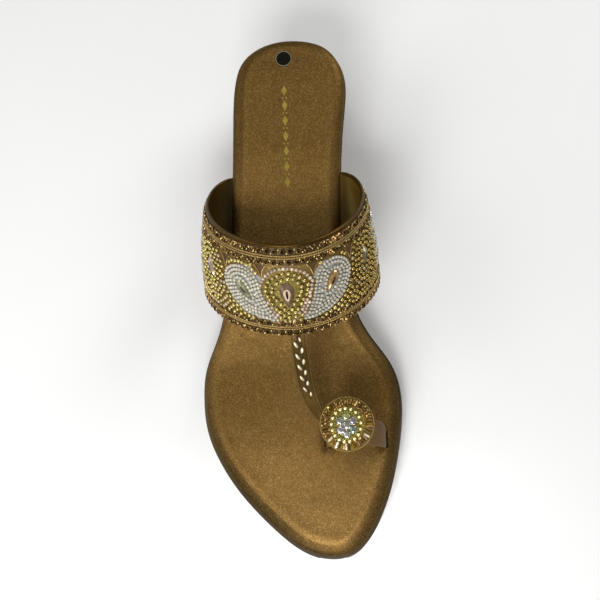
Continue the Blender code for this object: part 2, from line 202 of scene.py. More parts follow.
# ---------------------------------------------------------------- mesh buffer
class Buffer:
    """Vertices in shoe mm and faces of several closed bodies, made into one mesh."""

    def __init__(self):
        self.v, self.f, self.m, self.s, self.tone = [], [], [], [], []
        self.n = 0

    def add(self, verts, faces, mat=0, smooth=True, tone=1.0):
        verts = np.asarray(verts, float).reshape(-1, 3)
        self.v.append(verts)
        self.tone.append(np.broadcast_to(np.asarray(tone, float), (len(verts),)).copy())
        for k, a in enumerate(faces):
            a = np.asarray(a, int)
            if not len(a):
                continue
            self.f.append(a + self.n)
            mk = mat[k] if isinstance(mat, (list, tuple)) else mat
            self.m.append(np.broadcast_to(np.asarray(mk, int), (len(a),)).copy())
            self.s.append(np.full(len(a), bool(smooth)))
        self.n += len(verts)

    def place(self, template, pos, ax, ay, az, scale=1.0, mat=0, smooth=True, tone=1.0):
        """Copies of a template at each position, axes and scale given per copy."""
        tv, tf = template
        pos = np.asarray(pos, float).reshape(-1, 3)
        n, k = len(pos), len(tv)
        if not n:
            return
        scale = np.broadcast_to(np.asarray(scale, float), (n, 3)) if np.ndim(scale) else np.full((n, 3), float(scale))
        v = (pos[:, None, :]
             + ax[:, None, :] * (tv[None, :, 0] * scale[:, 0, None])[..., None]
             + ay[:, None, :] * (tv[None, :, 1] * scale[:, 1, None])[..., None]
             + az[:, None, :] * (tv[None, :, 2] * scale[:, 2, None])[..., None])
        tone = np.repeat(np.broadcast_to(np.asarray(tone, float), (n,)), k)
        shift = (np.arange(n) * k)[:, None, None]
        faces = [(np.asarray(a)[None] + shift).reshape(-1, np.asarray(a).shape[1]) for a in tf]
        self.add(v.reshape(-1, 3), faces, mat, smooth, tone)

    def make(self, name, mats, recalc=False, sharp=None):
        v = (np.vstack(self.v) - np.array([0, LENGTH / 2, 0])) * MM
        me = bpy.data.meshes.new(name)
        me.vertices.add(len(v))
        me.vertices.foreach_set("co", v.astype(np.float32).ravel())
        loops = np.concatenate([a.ravel() for a in self.f])
        totals = np.concatenate([np.full(len(a), a.shape[1]) for a in self.f])
        me.loops.add(len(loops))
        me.loops.foreach_set("vertex_index", loops.astype(np.int32))
        me.polygons.add(len(totals))
        me.polygons.foreach_set("loop_start", np.r_[0, np.cumsum(totals)[:-1]].astype(np.int32))
        me.update(calc_edges=True)
        me.polygons.foreach_set("material_index", np.concatenate(self.m).astype(np.int32))
        me.polygons.foreach_set("use_smooth", np.concatenate(self.s))
        tone = me.attributes.new("tone", "FLOAT", "POINT")
        tone.data.foreach_set("value", np.concatenate(self.tone).astype(np.float32))
        for m in mats:
            me.materials.append(m)
        if recalc:
            bm = bmesh.new()
            bm.from_mesh(me)
            bmesh.ops.recalc_face_normals(bm, faces=bm.faces[:])
            bm.to_mesh(me)
            bm.free()
        me.update()
        if sharp is not None:
            me.set_sharp_from_angle(angle=math.radians(sharp))
        ob = bpy.data.objects.new(name, me)
        bpy.context.scene.collection.objects.link(ob)
        return ob


def lathe(rows, seg, phase=0.0):
    """Closed turned template about z; rows of (radius, height) from the bottom."""
    a = 2 * np.pi * (np.arange(seg) + phase) / seg
    verts = [np.stack([r * np.cos(a), r * np.sin(a), np.full(seg, h)], 1) for r, h in rows]
    verts.append(np.array([[0, 0, rows[0][1]], [0, 0, rows[-1][1]]]))
    i = np.arange(seg)
    j = (i + 1) % seg
    quads = [np.stack([k * seg + i, k * seg + j, (k + 1) * seg + j, (k + 1) * seg + i], 1)
             for k in range(len(rows) - 1)]
    lo, hi = len(rows) * seg, len(rows) * seg + 1
    top = (len(rows) - 1) * seg
    tris = np.vstack([np.stack([np.full(seg, lo), j, i], 1),
                      np.stack([np.full(seg, hi), top + i, top + j], 1)])
    return np.vstack(verts), [np.vstack(quads), tris]


def turn(template):
    """The same template with its z axis laid along x."""
    v, f = template
    return np.stack([v[:, 2], v[:, 0], v[:, 1]], 1), f


def tube_mesh(path, radius, sides, up=None, closed=False, flat=1.0):
    """Closed round sweep along a path; up keeps its frame steady."""
    path = np.asarray(path, float)
    n = len(path)
    if closed:
        t = unit(np.roll(path, -1, 0) - np.roll(path, 1, 0))
    else:
        t = unit(np.gradient(path, axis=0))
    if up is None:
        up = np.tile([0.0, 0.0, 1.0], (n, 1))
    b = unit(np.cross(t, up))
    u = np.cross(b, t)
    a = 2 * np.pi * np.arange(sides) / sides
    r = np.broadcast_to(np.asarray(radius, float), (n,))[:, None, None]
    v = path[:, None] + r * (b[:, None] * np.cos(a)[None, :, None]
                             + u[:, None] * (flat * np.sin(a))[None, :, None])
    i = np.arange(sides)
    j = (i + 1) % sides
    rows = n if closed else n - 1
    base = (np.arange(rows) * sides)[:, None]
    nxt = ((np.arange(rows) + 1) % n * sides)[:, None]
    quads = np.stack([base + i, nxt + i, nxt + j, base + j], 2).reshape(-1, 4)
    verts = v.reshape(-1, 3)
    faces = [quads]
    if not closed:
        verts = np.vstack([verts, path[:1], path[-1:]])
        c0, c1 = n * sides, n * sides + 1
        last = (n - 1) * sides
        faces.append(np.vstack([np.stack([np.full(sides, c0), i, j], 1),
                                np.stack([np.full(sides, c1), last + j, last + i], 1)]))
    return verts, faces


def rope(buf, path, up, radius, pitch, mat=0, sides=5, step=0.3, closed=False, tone=1.0, strands=2):
    """Twisted cord: strands wound round the path."""
    path = np.asarray(path, float)
    p = np.vstack([path, path[:1]]) if closed else path
    w = np.vstack([up, up[:1]]) if closed else up
    run = np.r_[0, np.cumsum(np.linalg.norm(np.diff(p, axis=0), axis=1))]
    count = max(4, int(run[-1] / step))
    if closed:
        turns = max(1, round(run[-1] / pitch))
    else:
        turns = run[-1] / pitch
    at = np.linspace(0, run[-1], count + 1)
    if closed:
        at = at[:-1]
    q = np.stack([np.interp(at, run, p[:, k]) for k in range(3)], 1)
    n = unit(np.stack([np.interp(at, run, w[:, k]) for k in range(3)], 1))
    t = unit(np.roll(q, -1, 0) - np.roll(q, 1, 0)) if closed else unit(np.gradient(q, axis=0))
    b = unit(np.cross(t, n))
    n = np.cross(b, t)
    for s in range(strands):
        phi = 2 * np.pi * (turns * at / run[-1] + s / strands)
        off = radius * 0.48
        c = q + off * (b * np.cos(phi)[:, None] + n * np.sin(phi)[:, None])
        v, f = tube_mesh(c, radius * 0.56, sides, n, closed)
        buf.add(v, f, mat, True, tone)


# ------------------------------------------------------------------ materials
def principled(name, base, rough, metal=0.0, **more):
    m = bpy.data.materials.new(name)
    m.use_nodes = True
    nt = m.node_tree
    p = nt.nodes["Principled BSDF"]
    p.inputs["Base Color"].default_value = (*base, 1.0)
    p.inputs["Roughness"].default_value = rough
    p.inputs["Metallic"].default_value = metal
    for k, v in more.items():
        p.inputs[k.replace("_", " ")].default_value = (*v, 1.0) if isinstance(v, tuple) else v
    return m, nt, p


def node(nt, kind, **values):
    n = nt.nodes.new(kind)
    for k, v in values.items():
        if hasattr(n, k):
            setattr(n, k, v)
        else:
            n.inputs[k].default_value = v
    return n


def coords(nt):
    return node(nt, "ShaderNodeTexCoord").outputs["Object"]


def noise(nt, at, scale, detail=3.0, rough=0.55):
    n = node(nt, "ShaderNodeTexNoise")
    n.inputs["Scale"].default_value = scale
    n.inputs["Detail"].default_value = detail
    n.inputs["Roughness"].default_value = rough
    nt.links.new(at, n.inputs["Vector"])
    return n.outputs["Fac"]


def spread(nt, value, lo, hi, a=0.3, b=0.7):
    n = node(nt, "ShaderNodeMapRange")
    n.inputs["From Min"].default_value = a
    n.inputs["From Max"].default_value = b
    n.inputs["To Min"].default_value = lo
    n.inputs["To Max"].default_value = hi
    nt.links.new(value, n.inputs["Value"])
    return n.outputs["Result"]


def two_tone(nt, value, dark, light, a=0.3, b=0.7):
    r = node(nt, "ShaderNodeValToRGB")
    r.color_ramp.elements[0].position = a
    r.color_ramp.elements[1].position = b
    r.color_ramp.elements[0].color = (*dark, 1)
    r.color_ramp.elements[1].color = (*light, 1)
    nt.links.new(value, r.inputs["Fac"])
    return r.outputs["Color"]


def times(nt, colour, factor):
    n = node(nt, "ShaderNodeVectorMath", operation="SCALE")
    nt.links.new(colour, n.inputs[0])
    nt.links.new(factor, n.inputs["Scale"])
    return n.outputs["Vector"]


def multiply(nt, a, b):
    n = node(nt, "ShaderNodeMath", operation="MULTIPLY")
    nt.links.new(a, n.inputs[0])
    nt.links.new(b, n.inputs[1])
    return n.outputs["Value"]


def tone_of(nt):
    n = node(nt, "ShaderNodeAttribute", attribute_name="tone")
    return n.outputs["Fac"]


def bump(nt, p, height, distance, strength=1.0, normal=None):
    b = node(nt, "ShaderNodeBump")
    b.inputs["Strength"].default_value = strength
    b.inputs["Distance"].default_value = distance
    nt.links.new(height, b.inputs["Height"])
    if normal is not None:
        nt.links.new(normal, b.inputs["Normal"])
    nt.links.new(b.outputs["Normal"], p.inputs["Normal"])
    return b.outputs["Normal"]


def shade(c, f):
    return tuple(max(0.0, min(1.0, x * f)) for x in c)


def plain_material(name, base, rough, metal=0.0, vary=0.18, patch=250.0, grain=2600.0,
                   depth=0.00003, rough_vary=0.08, tone=True, **more):
    """Colour variation in soft patches, fine grain, and roughness that follows it."""
    m, nt, p = principled(name, base, rough, metal, **more)
    at = coords(nt)
    c = two_tone(nt, noise(nt, at, patch), shade(base, 1 - vary), shade(base, 1 + vary))
    if tone:
        c = times(nt, c, tone_of(nt))
    nt.links.new(c, p.inputs["Base Color"])
    g = noise(nt, at, grain, 2.0)
    nt.links.new(spread(nt, g, rough - rough_vary, rough + rough_vary), p.inputs["Roughness"])
    bump(nt, p, g, depth)
    return m


def glitter_material(name, base, rough, metal, cell=2500.0, tilt=0.16, spark=1.7, share=0.93,
                     mottle=180.0, vary=0.08, depth=0.00002, pale=(1.03, 1.25),
                     reach=0.04, low=0.82, mid=1.1, cast=False, **more):
    """Metallic leatherette with fine glitter: every cell has its own tilt and brightness."""
    m, nt, p = principled(name, base, rough, metal, **more)
    at = coords(nt)
    v = node(nt, "ShaderNodeTexVoronoi")
    v.inputs["Scale"].default_value = cell
    nt.links.new(at, v.inputs["Vector"])
    parts = node(nt, "ShaderNodeSeparateColor")
    nt.links.new(v.outputs["Color"], parts.inputs["Color"])
    glow = node(nt, "ShaderNodeValToRGB")
    e = glow.color_ramp.elements
    e[0].position, e[0].color = 0.0, (low, low, low, 1)
    e[1].position, e[1].color = share, (mid, mid, mid, 1)
    x = e.new(min(1.0, share + reach))
    x.color = (spark, spark * pale[0], spark * pale[1], 1)
    nt.links.new(parts.outputs["Red"], glow.inputs["Fac"])
    c = two_tone(nt, noise(nt, at, mottle, 4.0, 0.6), shade(base, 1 - vary), shade(base, 1 + vary))
    mul = node(nt, "ShaderNodeVectorMath", operation="MULTIPLY")
    nt.links.new(c, mul.inputs[0])
    nt.links.new(glow.outputs["Color"], mul.inputs[1])
    if cast:
        hue = node(nt, "ShaderNodeAttribute", attribute_name="cast")
        more_mul = node(nt, "ShaderNodeVectorMath", operation="MULTIPLY")
        nt.links.new(mul.outputs["Vector"], more_mul.inputs[0])
        nt.links.new(hue.outputs["Vector"], more_mul.inputs[1])
        mul = more_mul
    out = times(nt, mul.outputs["Vector"], tone_of(nt))
    nt.links.new(out, p.inputs["Base Color"])
    nt.links.new(spread(nt, parts.outputs["Green"], rough - 0.1, rough + 0.12, 0, 1), p.inputs["Roughness"])
    half = node(nt, "ShaderNodeVectorMath", operation="SUBTRACT")
    half.inputs[1].default_value = (0.5, 0.5, 0.5)
    nt.links.new(v.outputs["Color"], half.inputs[0])
    sc = node(nt, "ShaderNodeVectorMath", operation="SCALE")
    sc.inputs["Scale"].default_value = tilt
    nt.links.new(half.outputs["Vector"], sc.inputs[0])
    geo = node(nt, "ShaderNodeNewGeometry")
    add = node(nt, "ShaderNodeVectorMath", operation="ADD")
    nt.links.new(geo.outputs["Normal"], add.inputs[0])
    nt.links.new(sc.outputs["Vector"], add.inputs[1])
    nrm = node(nt, "ShaderNodeVectorMath", operation="NORMALIZE")
    nt.links.new(add.outputs["Vector"], nrm.inputs[0])
    b = node(nt, "ShaderNodeBump")
    b.inputs["Strength"].default_value = 0.23
    b.inputs["Distance"].default_value = depth
    nt.links.new(noise(nt, at, 1100.0, 2.0), b.inputs["Height"])
    nt.links.new(nrm.outputs["Vector"], b.inputs["Normal"])
    nt.links.new(b.outputs["Normal"], p.inputs["Normal"])
    return m


def metal_material(name, base, rough, metal=1.0, vary=0.14, patch=700.0, depth=0.00002, **more):
    return plain_material(name, base, rough, metal, vary, patch, 5000.0, depth, 0.06, True, **more)


M = {}
M["bed"] = glitter_material("bed_leatherette", (0.206, 0.117, 0.030), 0.55, 0.88, 2700.0, spark=1.62, share=0.62, pale=(1.12, 1.6),
                           reach=0.38, low=0.77, mid=1.02, cast=True,
                           Specular_IOR_Level=0.25, Specular_Tint=(0.95, 0.88, 0.72))
M["wedge"] = plain_material("wedge_unit", (0.104, 0.074, 0.035), 0.55, 0.0, 0.08, 60.0, 1800.0, 0.00003,
                            Specular_IOR_Level=0.16)
M["fabric"] = glitter_material("band_cloth", (0.088, 0.048, 0.009), 0.5, 0.5, 2200.0, 0.25, 1.8, 0.93)
M["ground"] = glitter_material("motif_cloth", (0.200, 0.125, 0.026), 0.5, 0.5, 2200.0, 0.25, 1.8, 0.93)
M["patch"] = glitter_material("brown_patch", (0.105, 0.055, 0.016), 0.5, 0.5, 2200.0, 0.25, 1.8, 0.93)
M["rim"] = plain_material("edge_piping", (0.078, 0.042, 0.005), 0.38, 0.8, 0.15, 400.0, 2600.0, 0.00004,
                          Specular_IOR_Level=0.3)
M["strap_edge"] = plain_material("strap_piping", (0.100, 0.062, 0.020), 0.42, 0.85, 0.15, 400.0, 2600.0, 0.00004,
                                 Specular_IOR_Level=0.2)
M["lining"] = plain_material("strap_lining", (0.074, 0.043, 0.004), 0.46, 0.3, 0.10, 120.0, 2200.0, 0.00003,
                             Specular_IOR_Level=0.25)
M["tab"] = plain_material("strap_tab", (0.24, 0.155, 0.026), 0.40, 0.35, 0.12, 150.0, 2400.0, 0.00003)
M["link"] = metal_material("chain_links", (1.0, 0.84, 0.55), 0.36, 0.66)
M["glow"] = metal_material("pale_gold_bugle", (0.90, 0.80, 0.52), 0.25, 0.5)
M["gold"] = metal_material("gold_beads", (0.68, 0.55, 0.19), 0.21, 0.78)
M["white"] = plain_material("pearl_beads", (0.585, 0.545, 0.435), 0.16, 0.0, 0.10, 700.0, 4000.0, 0.00001, 0.04,
                            Coat_Weight=0.6, Coat_Roughness=0.08)
M["pink"] = plain_material("blush_beads", (0.56, 0.43, 0.33), 0.18, 0.1, 0.12, 700.0, 4000.0, 0.00001, 0.04,
                           Coat_Weight=0.6, Coat_Roughness=0.08)
M["copper"] = metal_material("copper_sequins", (0.28, 0.182, 0.080), 0.32)
M["bugle"] = metal_material("bugle_beads", (0.200, 0.120, 0.020), 0.30, 0.75, 0.3, 180.0)
M["dish"] = metal_material("sequin_dish", (0.080, 0.042, 0.012), 0.18)
M["silver"] = metal_material("silver_beads", (0.52, 0.51, 0.43), 0.2)
M["cord"] = metal_material("gold_cord", (0.42, 0.28, 0.100), 0.34, 0.75)
M["pale_cord"] = metal_material("pale_cord", (0.48, 0.42, 0.28), 0.34, 0.6)
M["thread"] = metal_material("gold_thread", (0.36, 0.26, 0.065), 0.42, 0.6)
M["lime"] = metal_material("olive_seed_beads", (0.27, 0.235, 0.045), 0.34, 0.5)
M["cream"] = metal_material("creamy_beads", (0.66, 0.52, 0.33), 0.24, 0.5)
M["channel"] = plain_material("chain_channel", (0.050, 0.033, 0.011), 0.7, 0.0, 0.12, 300.0, 2400.0, 0.00002,
                              Specular_IOR_Level=0.12)
M["amber_gold"] = metal_material("amber_gold_beads", (0.66, 0.47, 0.13), 0.21, 0.78)
M["champagne"] = metal_material("stone_champagne", (0.20, 0.130, 0.075), 0.36, 0.5, Coat_Weight=0.4, Coat_Roughness=0.3)
M["amber"] = metal_material("stone_amber", (0.40, 0.24, 0.085), 0.22, 0.6, Coat_Weight=0.6, Coat_Roughness=0.12)
M["green"] = metal_material("stone_green", (0.36, 0.36, 0.21), 0.22, 0.6, Coat_Weight=0.6, Coat_Roughness=0.12)
M["olive"] = metal_material("stone_olive", (0.24, 0.21, 0.110), 0.22, 0.6, Coat_Weight=0.5, Coat_Roughness=0.15)
M["rose"] = metal_material("stone_rose", (0.48, 0.38, 0.31), 0.26, 0.6, Coat_Weight=0.4, Coat_Roughness=0.2)
M["clear"] = metal_material("stone_clear", (0.42, 0.43, 0.39), 0.15, 0.85, Coat_Weight=0.5, Coat_Roughness=0.06)
M["mint"] = metal_material("stone_mint", (0.44, 0.48, 0.22), 0.15, 0.8, Coat_Weight=0.5, Coat_Roughness=0.06)
M["lilac"] = metal_material("stone_lilac", (0.40, 0.365, 0.40), 0.15, 0.8, Coat_Weight=0.5, Coat_Roughness=0.06)
M["teal"] = metal_material("stone_teal", (0.31, 0.39, 0.32), 0.15, 0.8, Coat_Weight=0.5, Coat_Roughness=0.06)
M["bright"] = metal_material("cream_gold_beads", (0.86, 0.77, 0.40), 0.26, 0.8)
M["strap"] = glitter_material("t_strap_leatherette", (0.092, 0.053, 0.014), 0.52, 0.9, 2600.0, 0.16, 1.5, 0.94,
                             Specular_IOR_Level=0.2, Specular_Tint=(0.6, 0.42, 0.2))
M["taupe"] = plain_material("ring_leatherette", (0.118, 0.066, 0.025), 0.6, 0.1, 0.08, 150.0, 1500.0, 0.00006,
                            Specular_IOR_Level=0.22)
M["foil"] = metal_material("gold_foil", (0.42, 0.32, 0.060), 0.34, 1.0)
M["tear"] = glitter_material("golden_cloth", (0.108, 0.076, 0.005), 0.45, 0.6, 2200.0, 0.25, 1.8, 0.93)
M["mist"] = plain_material("pale_cloth", (0.33, 0.33, 0.30), 0.7, 0.0, 0.12, 400.0, 2600.0, 0.00003)
M["ink"] = plain_material("disc_dark", (0.006, 0.005, 0.002), 0.8, 0.0, 0.10, 200.0, 2000.0, 0.00001,
                          Specular_IOR_Level=0.08)
M["medal"] = glitter_material("medallion_cloth", (0.170, 0.092, 0.012), 0.45, 0.6, 1500.0, 0.35, 1.9, 0.88)
M["olive_cloth"] = glitter_material("medallion_middle", (0.170, 0.130, 0.012), 0.45, 0.6, 1500.0, 0.35, 1.9, 0.88)
M["pale"] = plain_material("disc_pale", (0.16, 0.135, 0.080), 0.45, 0.0, 0.10, 200.0, 2000.0, 0.00001)


def tread_material():
    m, nt, p = principled("tread_rubber", (0.12, 0.069, 0.041), 0.62)
    at = coords(nt)
    c = two_tone(nt, noise(nt, at, 90.0, 4.0, 0.6), (0.105, 0.060, 0.035), (0.145, 0.085, 0.051))
    c = times(nt, c, tone_of(nt))
    nt.links.new(c, p.inputs["Base Color"])
    # fine crossed hatching of the wide bands
    w = []
    for turn_deg in (45, -45):
        mp = node(nt, "ShaderNodeMapping")
        mp.inputs["Rotation"].default_value = (0, 0, math.radians(turn_deg))
        nt.links.new(at, mp.inputs["Vector"])
        wave = node(nt, "ShaderNodeTexWave")
        wave.inputs["Scale"].default_value = 340.0
        wave.inputs["Distortion"].default_value = 0.4
        nt.links.new(mp.outputs["Vector"], wave.inputs["Vector"])
        w.append(wave.outputs["Fac"])
    cross = multiply(nt, w[0], w[1])
    nt.links.new(spread(nt, noise(nt, at, 1500.0), 0.55, 0.7), p.inputs["Roughness"])
    bump(nt, p, cross, 0.00018)
    return m


M["tread"] = tread_material()


# ------------------------------------------------------------- plan solids
def ring_of(lateral, medial, length, n):
    th = np.pi * np.arange(1, n) / n
    t = length * (1 - np.cos(th)) / 2
    a = np.stack([lateral(th), t], 1)
    b = np.stack([medial(th), t], 1)
    toe = [[float(lateral(0.0) + medial(0.0)) / 2, 0.0]]
    heel = [[float(lateral(np.pi) + medial(np.pi)) / 2, length]]
    return np.vstack([toe, a, heel, b[::-1]])


def inset(ring, amount):
    d = np.roll(ring, -1, 0) - np.roll(ring, 1, 0)
    size = np.maximum(np.linalg.norm(d, axis=1), 1e-9)
    a = amount(ring[:, 1]) if callable(amount) else amount
    return ring + np.stack([d[:, 1] / size * a, -d[:, 0] / size * a], 1)


def stacked(rings, n, cols, top, bottom):
    """Verts and faces from rings of (2n,3), the ends closed by grids of cols cells."""
    verts = [np.asarray(r, float) for r in rings]
    size = 2 * n
    i = np.arange(size)
    j = (i + 1) % size
    quads = [np.stack([k * size + i, k * size + j, (k + 1) * size + j, (k + 1) * size + i], 1)
             for k in range(len(rings) - 1)]
    faces = list(quads)
    tris = []
    count = len(rings) * size
    for which, height in ((0, bottom), (len(rings) - 1, top)):
        base = which * size
        ring = verts[which]
        a = np.arange(1, n)
        la, lb = ring[a], ring[size - a]
        ids = np.empty((n - 1, cols + 1), int)
        ids[:, 0], ids[:, cols] = base + a, base + size - a
        f = np.arange(1, cols) / cols
        mid = la[:, None] * (1 - f)[None, :, None] + lb[:, None] * f[None, :, None]
        if height is not None:
            mid = height(mid, f)
        ids[:, 1:cols] = count + np.arange((n - 1) * (cols - 1)).reshape(n - 1, cols - 1)
        count += (n - 1) * (cols - 1)
        verts.append(mid.reshape(-1, 3))
        q = np.stack([ids[:-1, :-1], ids[:-1, 1:], ids[1:, 1:], ids[1:, :-1]], 2).reshape(-1, 4)
        faces.append(q)
        t0 = np.stack([np.full(cols, base), ids[0, :-1], ids[0, 1:]], 1)
        t1 = np.stack([np.full(cols, base + n), ids[-1, 1:], ids[-1, :-1]], 1)
        tris.append(np.vstack([t0, t1]))
    faces.append(np.vstack(tris))
    return np.vstack(verts), faces


# ---------------------------------------------------------------------- tread
WAVE = 31.0               # across the tread
WAVE_RISE = 2.3
PITCH = 5.5               # one pair of grooves and one wide band
GROOVES = (
    # offset in the pitch, depth
    (0.00, 0.0), (0.20, 0.55), (0.50, 0.55), (0.70, 0.0), (1.42, 0.02), (2.12, 0.0),
    (2.32, 0.55), (2.62, 0.55), (2.82, 0.0), (3.7, 0.03), (4.6, 0.03),
)


def wave_of(x, t0):
    fade = smooth_step(t0, 0.0, 9.0) * smooth_step(TREAD_LENGTH - t0, 0.0, 9.0)
    w = np.sin(2 * np.pi * (x + 4.0) / WAVE)
    w = np.tanh(1.1 * w) / np.tanh(1.1)
    return WAVE_RISE * fade * w


def build_tread():
    t0, depth = [], []
    k = 0
    while k * PITCH < TREAD_LENGTH:
        for o, d in GROOVES:
            t = k * PITCH + o + 0.6
            if 0.9 < t < TREAD_LENGTH - 0.9:
                t0.append(t)
                depth.append(d)
        k += 1
    t0, depth = np.array(t0), np.array(depth)
    cols = 66
    f = np.arange(cols + 1) / cols
    T = np.tile(t0[:, None], (1, cols + 1))
    margin = 0.35
    for _ in range(14):
        th = angle_of(T, TREAD_LENGTH)
        a, b = tread_lateral(th) + margin, tread_medial(th) - margin
        X = a + (b - a) * f[None]
        T = t0[:, None] + wave_of(X, t0[:, None])
    Z = toe_spring(T) + depth[:, None]
    rows = len(t0)
    low = np.stack([X, T, Z], 2)
    ids = np.arange(rows * (cols + 1)).reshape(rows, cols + 1)
    verts = [low.reshape(-1, 3)]
    count = ids.size
    # border loops: bottom edge, the sheet's lower corner, its upper corner
    loop = [(0, c) for c in range(cols + 1)]
    loop += [(r, cols) for r in range(1, rows)]
    loop += [(rows - 1, c) for c in range(cols - 1, -1, -1)]
    loop += [(r, 0) for r in range(rows - 2, 0, -1)]
    lr = np.array(loop)
    border = low[lr[:, 0], lr[:, 1]]
    plan = border[:, :2]
    d = np.roll(plan, -1, 0) - np.roll(plan, 1, 0)
    out = unit(np.stack([d[:, 1], -d[:, 0]], 1))
    # smooth the outward direction, so that groove ends leave no kinks
    for _ in range(4):
        out = unit(np.roll(out, 1, 0) + 2 * out + np.roll(out, -1, 0))
    spring = toe_spring(plan[:, 1])
    loops = [np.c_[plan + out * margin, spring + np.maximum(0.35, border[:, 2] - spring + 0.05)],
             np.c_[plan + out * margin, spring + TREAD_THICK - 0.25],
             np.c_[plan + out * (margin - 0.25), spring + TREAD_THICK]]
    size = len(loop)
    prev = ids[lr[:, 0], lr[:, 1]]
    faces = [np.stack([ids[:-1, :-1], ids[1:, :-1], ids[1:, 1:], ids[:-1, 1:]], 2).reshape(-1, 4)]
    i = np.arange(size)
    j = (i + 1) % size
    for lp in loops:
        verts.append(lp)
        now = count + i
        faces.append(np.stack([prev[i], prev[j], now[j], now[i]], 1))
        prev = now
        count += size
    # top face, joined across
    first = cols + 1
    right = prev[cols: cols + rows]
    left = np.r_[prev[0], prev[::-1][:rows - 1]]
    faces.append(np.stack([left[:-1], right[:-1], right[1:], left[1:]], 1))
    row_a = prev[:cols + 1]
    row_b = prev[cols + rows - 1: 2 * cols + rows]
    for row, end in ((row_a, 0), (row_b, 1)):
        verts.append(loops[-1][[row[0] - prev[0]]] * 0.5 + loops[-1][[row[-1] - prev[0]]] * 0.5)
        c = count
        count += 1
        a, b = row[:-1], row[1:]
        faces.append(np.stack([np.full(len(a), c), a, b], 1))
        faces.append(np.array([[c, row[0], row[-1]]]))
    buf = Buffer()
    buf.add(np.vstack(verts), faces)
    ob = buf.make("tread_sheet", [M["tread"]], recalc=True, sharp=50)
    # grooves are darker at the bottom, ridges rubbed lighter
    me = ob.data
    tone = np.ones(len(me.vertices), np.float32)
    tone[:rows * (cols + 1)] = np.repeat(np.where(depth > 0.3, 0.55, np.where(depth > 0, 0.98, 1.08)), cols + 1)
    me.attributes["tone"].data.foreach_set("value", tone)
    return ob


# ---------------------------------------------------------------------- wedge
def build_wedge():
    n = 180
    low = ring_of(tread_lateral, tread_medial, TREAD_LENGTH, n)
    high = ring_of(top_lateral, top_medial, LENGTH, n)
    z0 = toe_spring(low[:, 1]) + TREAD_THICK + GAP * 0.5
    z1 = wedge_top(high[:, 1])
    rings = []
    tones = []

    def wall(level, pull=0.0, z_off=0.0):
        p = low + (high - low) * level ** 1.35
        if pull:
            p = inset(p, pull)
        rings.append(np.c_[p, z0 + (z1 - z0) * level + z_off])

    wall(0.0, 0.5)
    wall(0.0, 0.12, 0.08)
    wall(0.0, 0.0, 0.4)
    for k in range(1, 15):
        wall(0.03 + 0.91 * k / 15)
    p = high
    for pull, drop in ((0.0, 0.75), (0.06, 0.42), (0.22, 0.18), (0.45, 0.04), (0.75, 0.0), (1.4, -0.02)):
        rings.append(np.c_[inset(p, pull), z1 - drop])
    v, f = stacked(rings, n, 6, None, None)
    buf = Buffer()
    buf.add(v, f)
    ob = buf.make("wedge_body", [M["wedge"]], recalc=True, sharp=60)
    # painted shade: the wall and its top rim darker towards the toe, the top rim darker again on the medial forefoot,
    # the lowest rings darker along the lower edge
    me = ob.data
    tone = np.ones(len(me.vertices), np.float32)
    size = 2 * n
    for k in range(len(rings)):
        tone[k * size:(k + 1) * size] = 1 - 0.38 * (1 - smooth_step(rings[k][:, 1], 12, 60))
        if k >= len(rings) - 6:
            x, t = rings[k][:, 0], rings[k][:, 1]
            # painted shade on the top rim, deepest at the toe and on the medial forefoot
            rim_shade = 0.46 + 0.36 * smooth_step(t, 25, 70)
            tone[k * size:(k + 1) * size] = rim_shade * (1 - 0.42 * smooth_step(x, 0, 20) * smooth_step(t, 50, 75)
                                                   * (1 - smooth_step(t, 140, 165)))
        # painted shade along the lower edge
        if k <= 1:
            tone[k * size:(k + 1) * size] *= 0.8
    me.attributes["tone"].data.foreach_set("value", tone)
    return ob


# -------------------------------------------------------------------- footbed
def rim_inset(t):
    return 1.5 - 0.9 * np.clip((np.asarray(t) - 70.0) / 80.0, 0, 1)


def slot_places():
    """Where the toe ring's legs enter the footbed: x, station, half sizes."""
    return ((RING_LATERAL, 56.4, 1.3, 5.7), (RING_MEDIAL, 53.6, 1.3, 3.6))


def bed_relief(x, t):
    """Small relief of the padded top: slot dips, and soft sag by wear."""
    z = np.zeros_like(x)
    for sx, st, hx, ht in slot_places():
        dx = np.maximum(np.abs(x - sx) - hx, 0)
        dt = np.maximum(np.abs(t - st) - ht, 0)
        z -= 0.85 * np.exp(-(np.hypot(dx, dt) / 1.25) ** 1.5)
    # soft hollow at the heel and under the ball
    z -= 0.55 * np.exp(-(((x - 0) / 17) ** 2 + ((t - 214) / 24) ** 2) ** 1.2)
    z -= 0.35 * np.exp(-(((x + 8) / 24) ** 2 + ((t - 74) / 26) ** 2) ** 1.2)
    # soft creases across where the foot bends
    for t_c, x_c, wide, deep in ((96, 30, 12, 0.16), (101, 24, 12, 0.14), (92, -33, 10, 0.12), (104, -26, 12, 0.12)):
        z -= deep * np.exp(-((t - t_c - 0.25 * (x - x_c)) / 1.6) ** 2 - ((x - x_c) / wide) ** 2)
    return z


def at_toe(t):
    return 1 - smooth_step(np.asarray(t, float), 18, 60)


